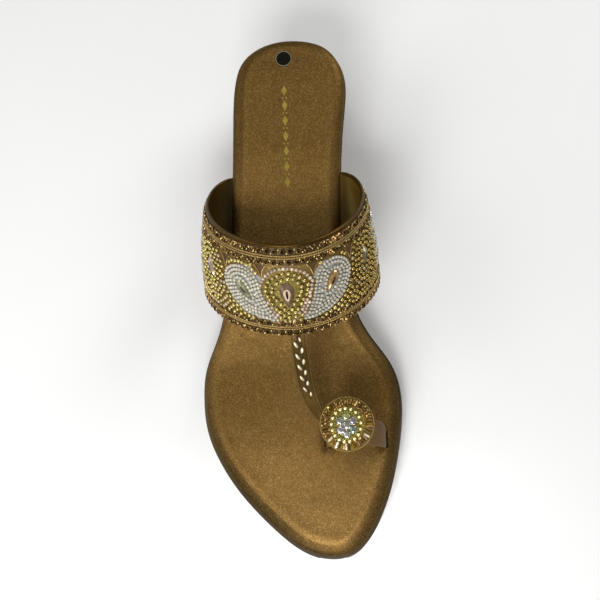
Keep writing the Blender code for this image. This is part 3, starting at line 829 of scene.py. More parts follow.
def build_footbed():
    n, cols = 250, 66
    plan = ring_of(top_lateral, top_medial, LENGTH, n)
    rings, kinds = [], []

    def ring(extra, rise, kind):
        p = inset(plan, lambda t: rim_inset(t) + extra)
        rings.append(np.c_[p, wedge_top(p[:, 1]) + GAP + rise])
        kinds.append(kind)

    side = 1.7
    ring(0.9, 0.0, 0.0)
    ring(0.35, 0.12, 0.0)
    ring(0.0, 0.6, 0.0)
    ring(-0.02, 1.1, 0.0)
    for k in range(0, 10):
        q = math.pi / 2 * k / 10
        # a soft slanted edge at the forefoot, rounder at the heel
        power = 1.42 - 0.24 * smooth_step(plan[:, 1], 90, 150)
        p = inset(plan, lambda t: rim_inset(t) + (INSOLE_ROLL + 1.2 * at_toe(t)) * (1 - math.cos(q) ** power))
        rings.append(np.c_[p, wedge_top(p[:, 1]) + GAP + side + (INSOLE_THICK - side) * math.sin(q) ** power])
        kinds.append(min(1.0, (k / 10) ** 1.8))
    # the sewn-under edge leaves a slight ridge where the top starts
    for extra, lift in ((5.0, 0.0), (5.5, 0.05), (6.0, 0.07), (6.6, 0.05), (7.4, 0.0), (8.3, -0.05), (9.4, -0.03)):
        p = inset(plan, lambda t: rim_inset(t) + extra + (1.2 + 0.25 * (extra - 5.0)) * at_toe(t))
        toe = 1 + 0.9 * (1 - smooth_step(p[:, 1], 30, 80)) * (lift > 0)
        rings.append(np.c_[p, wedge_top(p[:, 1]) + GAP + INSOLE_THICK + lift * toe])
        kinds.append(1.0)

    def top(mid, f):
        mid = mid.copy()
        wide = np.clip(np.ptp(mid[..., 0], axis=1) / 26.0, 0, 1)[:, None] ** 2
        mid[..., 2] = footbed(mid[..., 1]) - 0.03 + 0.35 * wide * np.sin(np.pi * f)[None, :]
        mid[..., 2] += bed_relief(mid[..., 0], mid[..., 1])
        return mid

    v, f = stacked(rings, n, cols, top, None)
    size = 2 * n
    for k in range(14, len(rings)):
        s = slice(k * size, (k + 1) * size)
        v[s, 2] += bed_relief(v[s, 0], v[s, 1])
    buf = Buffer()
    buf.add(v, f)
    ob = buf.make("footbed_pad", [M["bed"]], recalc=True)
    tone = np.ones(len(v), np.float32)
    for k, kind in enumerate(kinds):
        tone[k * size:(k + 1) * size] = 0.56 + 0.44 * kind
    # painted highlight: the ridge where the top starts is a little lighter
    for k in range(14, 19):
        tone[k * size:(k + 1) * size] = 1 + (0.02, 0.05, 0.07, 0.05, 0.02)[k - 14]
    # painted shade: the roll is darker at the toe, along the medial side and at the lateral heel; painted light makes
    # it lighter on the lateral forefoot
    for k in range(0, 15):
        q = slice(k * size, (k + 1) * size)
        tone[q] *= 1 - 0.28 * smooth_step(v[q, 0], 5, 25) * (1 - smooth_step(v[q, 1], 150, 190)) * smooth_step(v[q, 1], 68, 94)
        tone[q] *= 1 + 0.14 * smooth_step(-v[q, 0], 10, 30) * smooth_step(v[q, 1], 60, 90) * (1 - smooth_step(v[q, 1], 130, 160))
        tone[q] *= 1 - 0.26 * smooth_step(-v[q, 0], 10, 22) * smooth_step(v[q, 1], 165, 185)
        if k < 12:
            tone[q] *= 1 - 0.49 * (1 - smooth_step(v[q, 1], 30, 85)) * (1 - smooth_step(v[q, 0], 5, 25) * 0.76)
    # a little darker where the ball of the foot rests by wear, with painted shade that deepens towards the medial side
    x, t = v[:, 0], v[:, 1]
    ball = smooth_step(t, 34, 62) * (1 - smooth_step(t, 82, 106))
    tone *= 1 - ball * (0.05 + 0.25 * smooth_step(x, 2, 26))
    # painted light: lighter in front of the band and where the heel part starts; darker at the back
    tone *= 1 + 0.13 * smooth_step(t, 88, 99) * (1 - smooth_step(t, 112, 122))
    tone *= 1 + 0.16 * smooth_step(t, 164, 172) * (1 - smooth_step(t, 180, 196))
    tone *= 1 - 0.05 * smooth_step(t, 184, 200)
    tone *= 1 - 0.09 * smooth_step(t, 222, 236)
    # painted shade, flat and dark, along the medial side of the forefoot
    rim = np.asarray(top_medial(np.clip(t, 2, LENGTH - 2)), float)
    tone *= 1 - 0.16 * smooth_step(x - rim, -17, -7) * smooth_step(t, 52, 76) * (1 - smooth_step(t, 112, 135))
    # painted light: the forefoot's middle is lighter
    tone *= 1 + 0.14 * smooth_step(t, 20, 34) * (1 - smooth_step(t, 46, 60)) * np.exp(-((x + 2) / 22.0) ** 2)
    # a little darker on the flat part right behind the toe's ridge
    tone *= 1 - 0.09 * smooth_step(t, 9, 14) * (1 - smooth_step(t, 24, 36)) * (1 - 0.6 * smooth_step(x, 4, 12))
    # painted shade on the lateral forefoot
    tone *= 1 - 0.10 * smooth_step(-x, -10, 30) * smooth_step(t, 55, 75) * (1 - smooth_step(t, 88, 100))
    ob.data.attributes["tone"].data.foreach_set("value", tone)
    # painted shade colour: warmer and more saturated at the heel and on both sides of the forefoot
    cast = np.ones((len(v), 3), np.float32)

    def hue(weight, r, g, b):
        cast[:] *= 1 + weight[:, None] * (np.array([r, g, b], float) - 1)

    ridge = np.zeros(len(v))
    for k in range(0, 19):
        ridge[k * size:(k + 1) * size] = 1.0 if k < 16 else (0.8, 0.55, 0.25)[k - 16]
    hue(smooth_step(t, 166, 184), 0.95, 0.92, 0.86)
    hue(smooth_step(t, 55, 70) * (1 - smooth_step(t, 84, 98)) * smooth_step(-x, 4, 18) * (1 - ridge), 0.98, 0.94, 0.88)
    hue(smooth_step(t, 55, 70) * (1 - smooth_step(t, 84, 98)) * smooth_step(x, 14, 26), 1.04, 1.0, 0.92)
    ob.data.attributes.new("cast", "FLOAT_VECTOR", "POINT").data.foreach_set("vector", cast.ravel())
    return ob


def cut(ob, cutters):
    for c in cutters:
        mod = ob.modifiers.new("cut", "BOOLEAN")
        mod.object = c
        mod.operation = "DIFFERENCE"
        mod.solver = "EXACT"
    bpy.context.view_layer.update()
    dg = bpy.context.evaluated_depsgraph_get()
    me = bpy.data.meshes.new_from_object(ob.evaluated_get(dg))
    ob.modifiers.clear()
    old = ob.data
    ob.data = me
    me.name = ob.name
    bpy.data.meshes.remove(old)
    for c in cutters:
        data = c.data
        bpy.data.objects.remove(c)
        bpy.data.meshes.remove(data)


# --------------------------------------------------------------- instep band
band_foot, band_lean, band_lat, band_med, band_bulge, band_top = (column(BAND, 0, k) for k in range(1, 7))
HALF = 87.425             # half the mean length of the arch
TAB = 8.0
N_S, N_W = 420, 27


def band_line(w):
    """Middle of the band's wall at one line, from the lateral tab to the medial one."""
    foot, lean = float(band_foot(w)), math.radians(float(band_lean(w)))
    th = angle_of(foot, LENGTH)
    out_a, out_b = -float(top_lateral(th)) - 0.4, float(top_medial(th)) - 0.4
    ground = float(wedge_top(foot)) - STRAP_THICK / 2
    lat, med, low, top = (float(f(w)) for f in (band_lat, band_med, band_bulge, band_top))
    q = np.pi / 2 * np.arange(60) / 60
    a = np.stack([-(out_a + (lat - out_a) * np.sin(q)), low * (1 - np.cos(q))], 1)
    u = np.pi * (1 - np.arange(241) / 240)
    c, s = np.cos(u), np.sin(u)
    e = 2 / BAND_POWER
    x = np.where(c > 0, med, -lat) * np.abs(c) ** e
    arch = np.stack([x, low + (top - low) * np.abs(s) ** e], 1)
    b = np.stack([out_b + (med - out_b) * np.sin(q), low * (1 - np.cos(q))], 1)[::-1]
    pts = np.vstack([a, arch, b])
    run = np.r_[0, np.cumsum(np.linalg.norm(np.diff(pts, axis=0), axis=1))]
    sigma = np.linspace(-HALF - TAB, HALF + TAB, N_S + 1)
    share = np.clip(sigma / (2 * HALF) + 0.5, 0, 1) * run[-1]
    px = np.interp(share, run, pts[:, 0])
    ph = np.interp(share, run, pts[:, 1])
    px = px + np.where(sigma < -HALF, -HALF - sigma, 0) - np.where(sigma > HALF, sigma - HALF, 0)
    return np.stack([px, foot - ph * math.sin(lean), ground + ph * math.cos(lean)], 1)


W_LO, W_HI = -0.05, 1.05
grid_p = np.stack([band_line(w) for w in np.linspace(W_LO, W_HI, N_W)])
for _ in range(3):        # ease the arch's crown and sides a little
    grid_p[:, 1:-1] = (grid_p[:, :-2] + 2 * grid_p[:, 1:-1] + grid_p[:, 2:]) / 4
grid_t = unit(np.gradient(grid_p, axis=1))
grid_b = unit(np.gradient(grid_p, axis=0))
grid_n = unit(np.cross(grid_t, grid_b))


def on_band(s, v, h=0.0):
    """Point and frame (along, across, out) of the band at arch length s, width v, height h."""
    s, v, h = np.broadcast_arrays(np.asarray(s, float), np.asarray(v, float), np.asarray(h, float))
    a = (s + HALF + TAB) / (2 * (HALF + TAB)) * N_S
    b = (v / BAND_WIDTH - W_LO) / (W_HI - W_LO) * (N_W - 1)
    i = np.clip(a.astype(int), 0, N_S - 1)
    j = np.clip(b.astype(int), 0, N_W - 2)
    fa, fb = (a - i)[..., None], (b - j)[..., None]

    def get(g):
        return ((g[j, i] * (1 - fa) + g[j, i + 1] * fa) * (1 - fb)
                + (g[j + 1, i] * (1 - fa) + g[j + 1, i + 1] * fa) * fb)
    n = unit(get(grid_n))
    t = get(grid_t)
    t = unit(t - n * (t * n).sum(-1, keepdims=True))
    return get(grid_p) + n * h[..., None], t, np.cross(n, t), n


SKIN = 0.35               # outer face of the cloth over the wall's middle
S_MOTIF = 53.0            # the bead pictures end here, rows start
S_ROWS = 76.0             # the rows end here
S_ZIG = 79.6              # the zigzag border ends here, bare tab beyond


def strip_shell(name, mats, v0, v1, h_out, h_in, s0, s1, ds=1.0, dv=1.0, mat_of=None, edge=0.25):
    """Closed strip of the band's own form between two heights."""
    s = np.linspace(s0, s1, max(2, int(round((s1 - s0) / ds))) + 1)
    nv = max(2, int(round((v1 - v0) / dv)))
    outer = [(v0 + edge, h_out)] + [(v, h_out) for v in np.linspace(v0 + 2 * edge, v1 - 2 * edge, nv)] + [(v1 - edge, h_out)]
    sec = [(v0, h_out - edge)] + outer + [(v1, h_out - edge), (v1, h_in + edge), (v1 - edge, h_in)]
    sec += [(v, h_in) for v in np.linspace(v1 - 2 * edge, v0 + 2 * edge, nv)] + [(v0 + edge, h_in), (v0, h_in + edge)]
    sec = np.array(sec)
    m = len(sec)
    p = on_band(s[:, None], sec[None, :, 0], sec[None, :, 1])[0]
    i = np.arange(m)
    j = (i + 1) % m
    base = (np.arange(len(s) - 1) * m)[:, None]
    quads = np.stack([base + i, base + j, base + m + j, base + m + i], 2).reshape(-1, 4)
    verts = p.reshape(-1, 3)
    mid = np.arange(len(s) - 1)
    idx = np.zeros(len(quads), int)
    if mat_of is not None:
        idx = np.repeat(mat_of((s[:-1] + s[1:]) / 2), m)
        if callable(getattr(mat_of, "refine", None)):
            idx = mat_of.refine(s, sec, idx)
    ends = []
    # end caps: fans between the outer and inner rows
    half = m // 2
    for r, flip in ((0, False), (len(s) - 1, True)):
        o = r * m
        ring = o + np.arange(m)
        lo = [ring[0], ring[-1]]
        cap = []
        k = 0
        a_side = list(ring[:half])
        b_side = list(ring[half:][::-1])
        for k in range(half - 1):
            cap.append([a_side[k], a_side[k + 1], b_side[k + 1], b_side[k]])
        ends.append(np.array(cap))
    buf = Buffer()
    buf.add(verts, [quads] + ends, [idx, 0, 0])
    return buf.make(name, mats, recalc=True, sharp=70)


def build_band():
    made = []

    def cloth(s):
        a = np.abs(s)
        return np.where(a > S_ZIG - 1.2, 2, 0)

    made.append(strip_shell("band_cloth", [M["fabric"], M["ground"], M["tab"], M["tear"], M["mist"]],
                            0.35, 40.7, SKIN, -0.5,
                            -HALF - TAB, HALF + TAB, 0.9, 1.0, cloth))
    me = made[0].data
    # the cloth under the bead pictures is golden, the borders are brown
    zone_lo, zone_hi = 6.6, 32.4
    c = np.zeros(len(me.polygons) * 3, np.float32)
    me.polygons.foreach_get("center", c)
    tree_pts = []
    ss = np.arange(-S_MOTIF, S_MOTIF + 0.01, 1.0)
    idx = np.zeros(len(me.polygons), np.int32)
    me.polygons.foreach_get("material_index", idx)
    lo = on_band(ss, np.full(len(ss), zone_lo))[0]
    hi = on_band(ss, np.full(len(ss), zone_hi))[0]
    centres = c.reshape(-1, 3) / MM + [0, LENGTH / 2, 0]
    # nearest s column, then compare with the zone's two lines
    step = np.linalg.norm(centres[:, None, :] - ((lo + hi) / 2)[None], axis=2)
    k = step.argmin(1)
    across = unit(hi[k] - lo[k])
    along_v = ((centres - lo[k]) * across).sum(1)
    width = np.linalg.norm(hi[k] - lo[k], axis=1)
    inside = (along_v > 0) & (along_v < width) & (step.min(1) < 14.5) & (idx == 0)
    idx[inside] = 1
    here = np.stack([ss[k], zone_lo + (zone_hi - zone_lo) * along_v / width], 1)
    deep = np.zeros(len(here))
    for curve, mat, reach in ((smooth_curve(TEAR, True), 3, 0.4), (smooth_curve(PAISLEY_RIGHT, True), 4, -0.25),
                              (smooth_curve(PAISLEY_LEFT, True), 4, -0.25)):
        d, ins = distance_to(here, curve)
        idx[inside & (np.where(ins, -d, d) < reach)] = mat
        deep = np.where(ins, d, deep)
    # pale cloth only where pearls cover it
    lay = laid()[0]
    pearls = np.array([q for q, kind in zip(lay.p, lay.k) if kind == "white"])
    near = np.linalg.norm(here[:, None] - pearls[None], axis=2).min(1)
    idx[(idx == 4) & (near > 0.9) & (deep < 1.7)] = 1
    me.polygons.foreach_set("material_index", idx)
    made.append(strip_shell("band_lining", [M["lining"]], 0.6, 40.3, -0.5, -1.1,
                            -HALF - TAB + 0.5, HALF + TAB - 0.5, 1.0, 2.0))
    # painted light and shade: the lining is lighter inside the medial side, darker inside the lateral side
    me = made[1].data
    c = np.zeros(len(me.vertices) * 3, np.float32)
    me.vertices.foreach_get("co", c)
    tone = 0.80 + 1.05 * smooth_step(c.reshape(-1, 3)[:, 0] / MM, -10, 30)
    me.attributes["tone"].data.foreach_set("value", tone.astype(np.float32))
    # rolled rims along both edges
    buf = Buffer()
    s = np.linspace(-HALF - 1.5, HALF + 1.5, 260)
    for v, h, r, flat in ((40.75, -0.25, 1.0, 0.95), (0.25, -0.35, 0.8, 0.9)):
        p, t, b, n = on_band(s, np.full(len(s), v), h)
        vv, ff = tube_mesh(p, r, 12, n, flat=flat)
        buf.add(vv, ff, 0, True, 1.0)
    made.append(buf.make("band_piping", [M["rim"]], recalc=True))
    return made


# -------------------------------------------------------------- bead layouts
BEAD = 1.96               # diameter of a seed bead
STEP = 2.27               # pitch along a row
GOLD_RING_1 = ((.75, 26.5), (-2.15, 25.9), (-4.1, 24.4), (-6.25, 22.5), (-6.75, 20.7), (-6.25, 18.3),
               (-5.15, 16.8), (-3.5, 15), (-2.5, 12.6), (-.75, 11.1), (.75, 12.6), (2, 15.1), (3.5, 17),
               (4.85, 18.8), (5.6, 20.5), (5.9, 22.6), (4.85, 24.4), (2.9, 26.3))
GOLD_RING_2 = ((-1.25, 28.8), (1.4, 28.8), (3.75, 28), (5.6, 26.9), (7.5, 25.1), (8.75, 23.1), (8.25, 20.8),
               (7.6, 18.8), (6, 16.8), (5, 15), (3.25, 12.6), (2, 11), (-1, 8.8), (-3.5, 27.9), (-5.6, 26.6),
               (-7.75, 25), (-9.1, 22.8), (-9.5, 20.7), (-8.9, 18.5), (-8.25, 16.9), (-7.25, 15),
               (-5.75, 12.6), (-4.5, 11.3), (-2.75, 9.8), (-2.9, 7.3), (-.9, 6.9))
BLUSH_ARCH = ((-11.4, 23.0), (-10.3, 25.3), (-8.8, 27.3), (-6.75, 28.9), (-4.6, 30.2), (-2, 30.9), (.6, 31.0),
              (3.3, 30.7), (6, 29.8), (8.2, 28.3), (9.8, 26.4), (10.9, 24.2))
PAISLEY_RIGHT = ((5.2, 6.9), (7.8, 11.5), (10.2, 17.0), (11.5, 21.5), (13, 26.3), (15.2, 29.4), (19.2, 31.4), (24, 31.1),
                 (28.4, 28.6), (30.8, 23.5), (29.2, 18.6), (25.8, 13.9), (19.5, 9.9), (12.5, 7.6))
PAISLEY_LEFT = ((-5.6, 6.6), (-8.2, 12.0), (-10.6, 17.0), (-11.8, 21.3), (-12.6, 25.2), (-15.6, 28.9), (-20, 30.3), (-25.2, 29.3),
                (-29.4, 26.3), (-30.9, 22.0), (-29.8, 17.3), (-25.4, 12.6), (-20, 8.9), (-12.8, 7.6))


def pear(cx, cy, dx, dy, length, width, n=28, point=1.0):
    """Pear outline: its point lies towards (dx, dy) from the middle."""
    d = np.array([dx, dy]) / math.hypot(dx, dy)
    e = np.array([-d[1], d[0]])
    u = 2 * np.pi * np.arange(n) / n
    along = np.cos(u)
    half = np.sin(u) * (1 - along * 0.5 * point) / (1 + 0.14 * point)
    p = along[:, None] * d * length / 2 + half[:, None] * e * width / 2
    return p + [cx, cy]


STONES = (
    # name, middle, point direction, length, width, material
    ("centre", (-0.35, 18.9), (0, -1), 11.4, 6.4, "champagne"),
    ("right", (20.0, 21.3), (-6.25, -8.5), 9.6, 4.7, "amber"),
    ("left", (-20.2, 19.3), (6.0, -6.6), 9.2, 4.6, "green"),
    ("far_right", (42.0, 22.3), (-3.0, -6.0), 8.0, 4.6, "olive"),
    ("far_left", (-41.7, 22.0), (3.0, -6.0), 8.0, 4.6, "rose"),
)


def distance_to(points, curve):
    """Distance of points to a closed curve, and True where they are inside."""
    p = np.asarray(points, float).reshape(-1, 2)
    c = np.asarray(curve, float)
    d = np.roll(c, -1, 0) - c
    w = p[:, None] - c[None]
    f = np.clip((w * d).sum(2) / np.maximum((d * d).sum(1), 1e-12), 0, 1)
    dist = np.linalg.norm(w - f[..., None] * d, axis=2).min(1)
    x, y = p[:, 0, None], p[:, 1, None]
    x0, y0 = c[:, 0], c[:, 1]
    x1, y1 = np.roll(c[:, 0], -1), np.roll(c[:, 1], -1)
    hit = ((y0 > y) != (y1 > y)) & (x < (x1 - x0) * (y - y0) / np.where(y1 == y0, 1e-12, y1 - y0) + x0)
    return dist, hit.sum(1) % 2 == 1


class Layout:
    """Beads on the unrolled band; no bead overlaps another."""

    def __init__(self):
        self.p, self.k, self.a = [], [], []

    def free(self, q, gap):
        if not self.p:
            return True
        return np.min(np.sum((np.array(self.p) - q) ** 2, axis=1)) >= gap * gap

    def put(self, q, kind, angle=0.0, gap=0.0):
        if gap and not self.free(np.asarray(q, float), gap):
            return False
        self.p.append(np.array(q, float))
        self.k.append(kind)
        self.a.append(angle)
        return True

    def along(self, points, kind, closed=False, gap=1.9, keep=None, step=STEP):
        pts, real = resample(points, step, closed=closed)
        n = len(pts)
        for i, q in enumerate(pts):
            a, b = pts[(i - 1) % n if closed else max(i - 1, 0)], pts[(i + 1) % n if closed else min(i + 1, n - 1)]
            if keep is not None and not keep(q):
                continue
            self.put(q, kind, math.atan2(b[1] - a[1], b[0] - a[0]), gap)

    def offset(self, curve, d, kind, gap=2.0, keep=None, step=STEP):
        """A row at distance d from a closed curve, outwards if d is positive."""
        c, _ = resample(curve, 0.4, closed=True)
        t = unit(np.roll(c, -1, 0) - np.roll(c, 1, 0))
        n = np.stack([t[:, 1], -t[:, 0]], 1)
        area = np.sum(c[:, 0] * np.roll(c[:, 1], -1) - np.roll(c[:, 0], -1) * c[:, 1])
        if area < 0:
            n = -n
        q = c + n * d
        dist, _ = distance_to(q, c)
        ok = dist > abs(d) - 0.12
        if keep is not None:
            ok &= np.array([keep(x) for x in q])
        if not ok.any():
            return
        if ok.all():
            self.along(q, kind, True, gap, None, step)
            return
        start = int(np.argmax(~ok))
        ok, q = np.roll(ok, -start), np.roll(q, -start, 0)
        run = []
        for flag, x in list(zip(ok, q)) + [(False, None)]:
            if flag:
                run.append(x)
            elif run:
                if len(run) > 4:
                    self.along(np.array(run), kind, False, gap, None, step)
                elif len(run) > 1:
                    self.put(run[len(run) // 2], kind, 0.0, gap)
                run = []

    def fill(self, inside, kind, gap, order=None, grid=0.28, box=(-54, 54, 6, 33)):
        xs, ys = np.arange(box[0], box[1], grid), np.arange(box[2], box[3], grid)
        g = np.stack(np.meshgrid(xs, ys, indexing="ij"), -1).reshape(-1, 2)
        g = g[inside(g)]
        if not len(g):
            return
        if order is not None:
            g = g[np.argsort(order(g), kind="stable")]
        pts = np.array(self.p)
        d = np.full(len(g), 1e9)
        for a in range(0, len(g), 4000):
            d[a:a + 4000] = np.sqrt(((g[a:a + 4000, None] - pts[None]) ** 2).sum(2)).min(1)
        g, d = g[d >= gap], d[d >= gap]
        new = []
        while len(g):
            q = g[0]
            new.append(q)
            self.put(q, kind, 0.0)
            far = ((g - q) ** 2).sum(1) >= gap * gap
            g = g[far]


def laid(kept=[]):
    """The bead layout, worked out once."""
    if not kept:
        kept.append(lay_out())
    return kept[0]


def lay_out():
    lay = Layout()
    outlines = {"right": smooth_curve(PAISLEY_RIGHT, True), "left": smooth_curve(PAISLEY_LEFT, True)}
    stones = {n: pear(*c, *d, length, width) for n, c, d, length, width, _ in STONES}
    for q in GOLD_RING_1:
        lay.put(q, "gold", 0.0)
    for q in GOLD_RING_2:
        lay.put(q, "gold", 0.0)
    lay.along(smooth_curve(BLUSH_ARCH), "pink", gap=1.7, step=1.85)

    # white paisleys: rows that follow the outline, a row round the stone, then the rest
    for side in ("right", "left"):
        o, st = outlines[side], stones[side]

        def keep(q, o=o, st=st):
            d, ins = distance_to(q, o)
            ds, ins_s = distance_to(q, st)
            return bool(ins[0] and not ins_s[0] and ds[0] > 0.95)
        for d in (-0.8, -2.38, -3.96, -5.54, -7.1):
            lay.offset(o, d, "white", 1.44, keep, 1.6)
            if d > -1:
                lay.offset(st, 1.1, "white", 1.46, lambda q, o=o: bool(distance_to(q, o)[1][0]), 1.6)

        def inside(g, o=o, st=st):
            d, ins = distance_to(g, o)
            ds, ins_s = distance_to(g, st)
            return ins & (d > 0.6) & ~ins_s & (ds > 0.85)
        lay.fill(inside, "white", 1.46, lambda g, o=o: distance_to(g, o)[0])

    # side paisleys: gold rows round their stones
    for side in ("far_right", "far_left"):
        st = stones[side]

        def keep(q):
            return abs(q[0]) < S_MOTIF - 0.4 and 7.2 < q[1] < 32.0
        for d in (1.45, 3.7, 5.95, 8.2):
            lay.offset(st, d, "gold", 2.05, keep)

    # gold rows that follow the white paisleys, then every gap
    def open_ground(g):
        g = np.asarray(g, float).reshape(-1, 2)
        ok = (np.abs(g[:, 0]) < S_MOTIF - 0.2) & (g[:, 1] > 6.9) & (g[:, 1] < 31.9)
        for o in outlines.values():
            d, ins = distance_to(g, o)
            ok &= ~ins & (d > 0.9)
        for st in stones.values():
            d, ins = distance_to(g, st)
            ok &= ~ins & (d > 1.0)
        centre = np.abs(g[:, 0]) < 11.6
        ok &= ~(centre & (g[:, 1] > 9.5))
        # four small bare triangles along the upper edge
        for cx, wide, tip in TRIANGLES:
            inside = (g[:, 1] > tip - 0.6) & (np.abs(g[:, 0] - cx) < wide / 2 * (g[:, 1] - tip + 1.6) / (32.2 - tip) + 0.4)
            ok &= ~inside
        return ok

    for side, sign in (("right", 1), ("left", -1)):
        for d in (1.3, 3.55, 5.8, 8.05, 10.3):
            lay.offset(outlines[side], d, "gold", 2.08,
                       lambda q, sign=sign: bool(open_ground(q)[0]) and q[0] * sign > 0 and q[1] < 24)
    lay.fill(open_ground, "gold", 1.96, lambda g: np.round(g[:, 1] / 0.4) * 0.4)
    tear = smooth_curve(TEAR, True)

    def round_centre(g):
        g = np.asarray(g, float).reshape(-1, 2)
        ok = (np.abs(g[:, 0]) < 11.8) & (g[:, 1] > 7.0) & (g[:, 1] < 24.5)
        for o in outlines.values():
            d, ins = distance_to(g, o)
            ok &= ~ins & (d > 0.55)
        d, ins = distance_to(g, tear)
        return ok & ~ins & (d > 0.9)
    lay.fill(round_centre, "pink", 1.62, lambda g: -g[:, 1])
    return lay, outlines, stones


TEAR = ((0, 28.8), (3.75, 28), (7.5, 25.1), (8.75, 22.6), (7.9, 19.6), (6, 16.8), (3.25, 12.6), (0.4, 8.0), (-1.2, 8.0),
        (-4.5, 11.3), (-7.25, 15), (-9.2, 19.2), (-9.4, 22.0), (-7.75, 25), (-4, 27.9))
TRIANGLES = (
    # middle s, width at the top, height of the apex
    (12.0, 5.4, 26.6), (-11.0, 5.4, 26.4), (31.6, 6.0, 26.8), (-30.0, 6.0, 26.6),
)

BEAD_T = turn(lathe(((0.16, -0.74), (0.50, -0.88), (0.86, -0.56), (1.0, 0.0), (0.86, 0.56), (0.50, 0.88), (0.16, 0.74)), 10))
ROUND_T = lathe(((0.38, -0.92), (0.78, -0.62), (1.0, 0.0), (0.78, 0.62), (0.38, 0.92)), 10)
DOT_T = lathe(((0.45, -0.88), (0.84, -0.54), (1.0, 0.0), (0.85, 0.52), (0.52, 0.85), (0.18, 0.98)), 10)


def place_on_band(buf, template, pts, angle, height, size, mat=0, smooth=True, tone=1.0):
    pts = np.asarray(pts, float).reshape(-1, 2)
    if not len(pts):
        return
    p, t, b, n = on_band(pts[:, 0], pts[:, 1], height)
    c, s = np.cos(angle)[:, None], np.sin(angle)[:, None]
    ax = t * c + b * s
    ay = b * c - t * s
    buf.place(template, p, ax, ay, n, size, mat, smooth, tone)


def build_beads():
    lay, outlines, stones = laid()
    made = []
    p, k, a = np.array(lay.p), np.array(lay.k), np.array(lay.a)
    for kind, name in (("gold", "gold_beads"), ("white", "pearl_beads"), ("pink", "blush_beads")):
        sel = k == kind
        n = int(sel.sum())
        r = np.random.default_rng(len(name))
        size = {"gold": BEAD, "white": 1.6, "pink": 1.66}[kind] / 2 * (1 + r.uniform(-0.05, 0.05, n))
        pts = p[sel] + r.uniform(-0.07, 0.07, (n, 2))
        ang = a[sel] + r.uniform(-0.25, 0.25, n)
        high = SKIN + (0.52 if kind == "white" else 0.62) + r.uniform(-0.06, 0.06, n)
        buf = Buffer()
        tone = 1 + r.uniform(-0.22, 0.12, n)
        if kind == "pink":
            tone = 1 + r.uniform(-0.35, 0.4, n)
        if kind == "gold":
            # painted shade: gold beads darker towards both sides of the band, most on the medial side
            tone *= np.where(pts[:, 0] > 0, 1 - 0.38 * smooth_step(pts[:, 0], 18, 32),
                             1 - 0.22 * smooth_step(-pts[:, 0], 20, 34))
            tone *= 1 - 0.12 * (1 - smooth_step(np.abs(pts[:, 0]), 9, 12))
            size *= 1 - 0.06 * smooth_step(np.abs(pts[:, 0]), 10, 20)
        if kind == "white":
            tone *= np.where(pts[:, 0] > 0, 0.82, 1.0)
        warm = (kind == "gold") & (pts[:, 0] + r.uniform(-6, 6, n) > 24)
        # a few creamy beads among the gold ones at the sides
        blush = (kind == "gold") & (np.abs(pts[:, 0]) > 27) & (r.uniform(0, 1, n) < np.where(pts[:, 0] > 0, 0.05, 0.14))
        for sel, mat in ((~warm & ~blush, 0), (warm & ~blush, 1), (blush, 2)):
            place_on_band(buf, DOT_T, pts[sel], ang[sel], high[sel],
                          np.stack([size, size, size * 0.95], 1)[sel], mat, True, tone[sel])
        made.append(buf.make(name, [M[kind]] + ([M["amber_gold"], M["cream"]] if kind == "gold" else [])))
    return made, stones, outlines


def facet_stone(outline_pts, n_use=14, height=1.5, table=0.5):
    """Faceted stone on the band: girdle, crown facets and table, flat shaded."""
    c = outline_pts.mean(0)
    pts = resample(outline_pts, count=n_use, closed=True)[0]
    rows = ((1.0, 0.0), (1.0, 0.35), (0.80, 0.95), (table, height))
    return pts, c, rows


def build_stones(stones):
    buf = Buffer()
    mats = ["champagne", "amber", "green", "olive", "rose"]
    for name, _, _, _, _, m in STONES:
        pts, c, rows = facet_stone(stones[name])
        if name == "centre":
            c = c + [0.0, 0.6]
        n = len(pts)
        verts = []
        for k, (share, h) in enumerate(rows):
            q = c + (pts - c) * share
            if k % 2 == 1 and k > 1:
                q = (q + np.roll(q, -1, 0)) / 2
            verts.append(on_band(q[:, 0], q[:, 1], SKIN + h)[0])
        i = np.arange(n)
        j = (i + 1) % n
        faces = []
        tri = []
        for k in range(len(rows) - 1):
            a, b = k * n, (k + 1) * n
            if k == 2:
                tri += [np.stack([a + i, a + j, b + i], 1), np.stack([b + i, a + j, b + j], 1)]
            else:
                faces.append(np.stack([a + i, a + j, b + j, b + i], 1))
        mid = on_band(c[0], c[1], SKIN + rows[-1][1] + 0.12)[0]
        base = on_band(c[0], c[1], SKIN)[0]
        verts.append(np.vstack([base, mid]))
        lo, hi = len(rows) * n, len(rows) * n + 1
        top = (len(rows) - 1) * n
        tri += [np.stack([np.full(n, lo), j, i], 1), np.stack([np.full(n, hi), top + i, top + j], 1)]
        faces.append(np.vstack(tri))
        v = np.vstack(verts)
        buf.add(v, faces, mats.index(m), False, 1.0)
        # painted reflection: a dark slit along each stone's table
        _, _, d, length, width, _ = next(x for x in STONES if x[0] == name)
        d = np.array(d) / math.hypot(*d)
        e = np.array([-d[1], d[0]])
        w = 2 * np.pi * np.arange(12) / 12
        q = c + np.cos(w)[:, None] * d * length * 0.17 + np.sin(w)[:, None] * e * width * 0.075
        top_ = on_band(q[:, 0], q[:, 1], SKIN + rows[-1][1] + 0.16)[0]
        low_ = on_band(q[:, 0], q[:, 1], SKIN + rows[-1][1] - 0.3)[0]
        ends = np.stack([on_band(c[0], c[1], SKIN + rows[-1][1] + 0.18)[0], on_band(c[0], c[1], SKIN + rows[-1][1] - 0.3)[0]])
        i = np.arange(12)
        j = (i + 1) % 12
        buf.add(np.vstack([low_, top_, ends]),
                [np.stack([i, j, 12 + j, 12 + i], 1),
                 np.vstack([np.stack([12 + i, 12 + j, np.full(12, 24)], 1), np.stack([j, i, np.full(12, 25)], 1)])],
                len(mats), False, 1.0)
    return buf.make("band_stones", [M[m] for m in mats] + [M["ink"]], recalc=True)
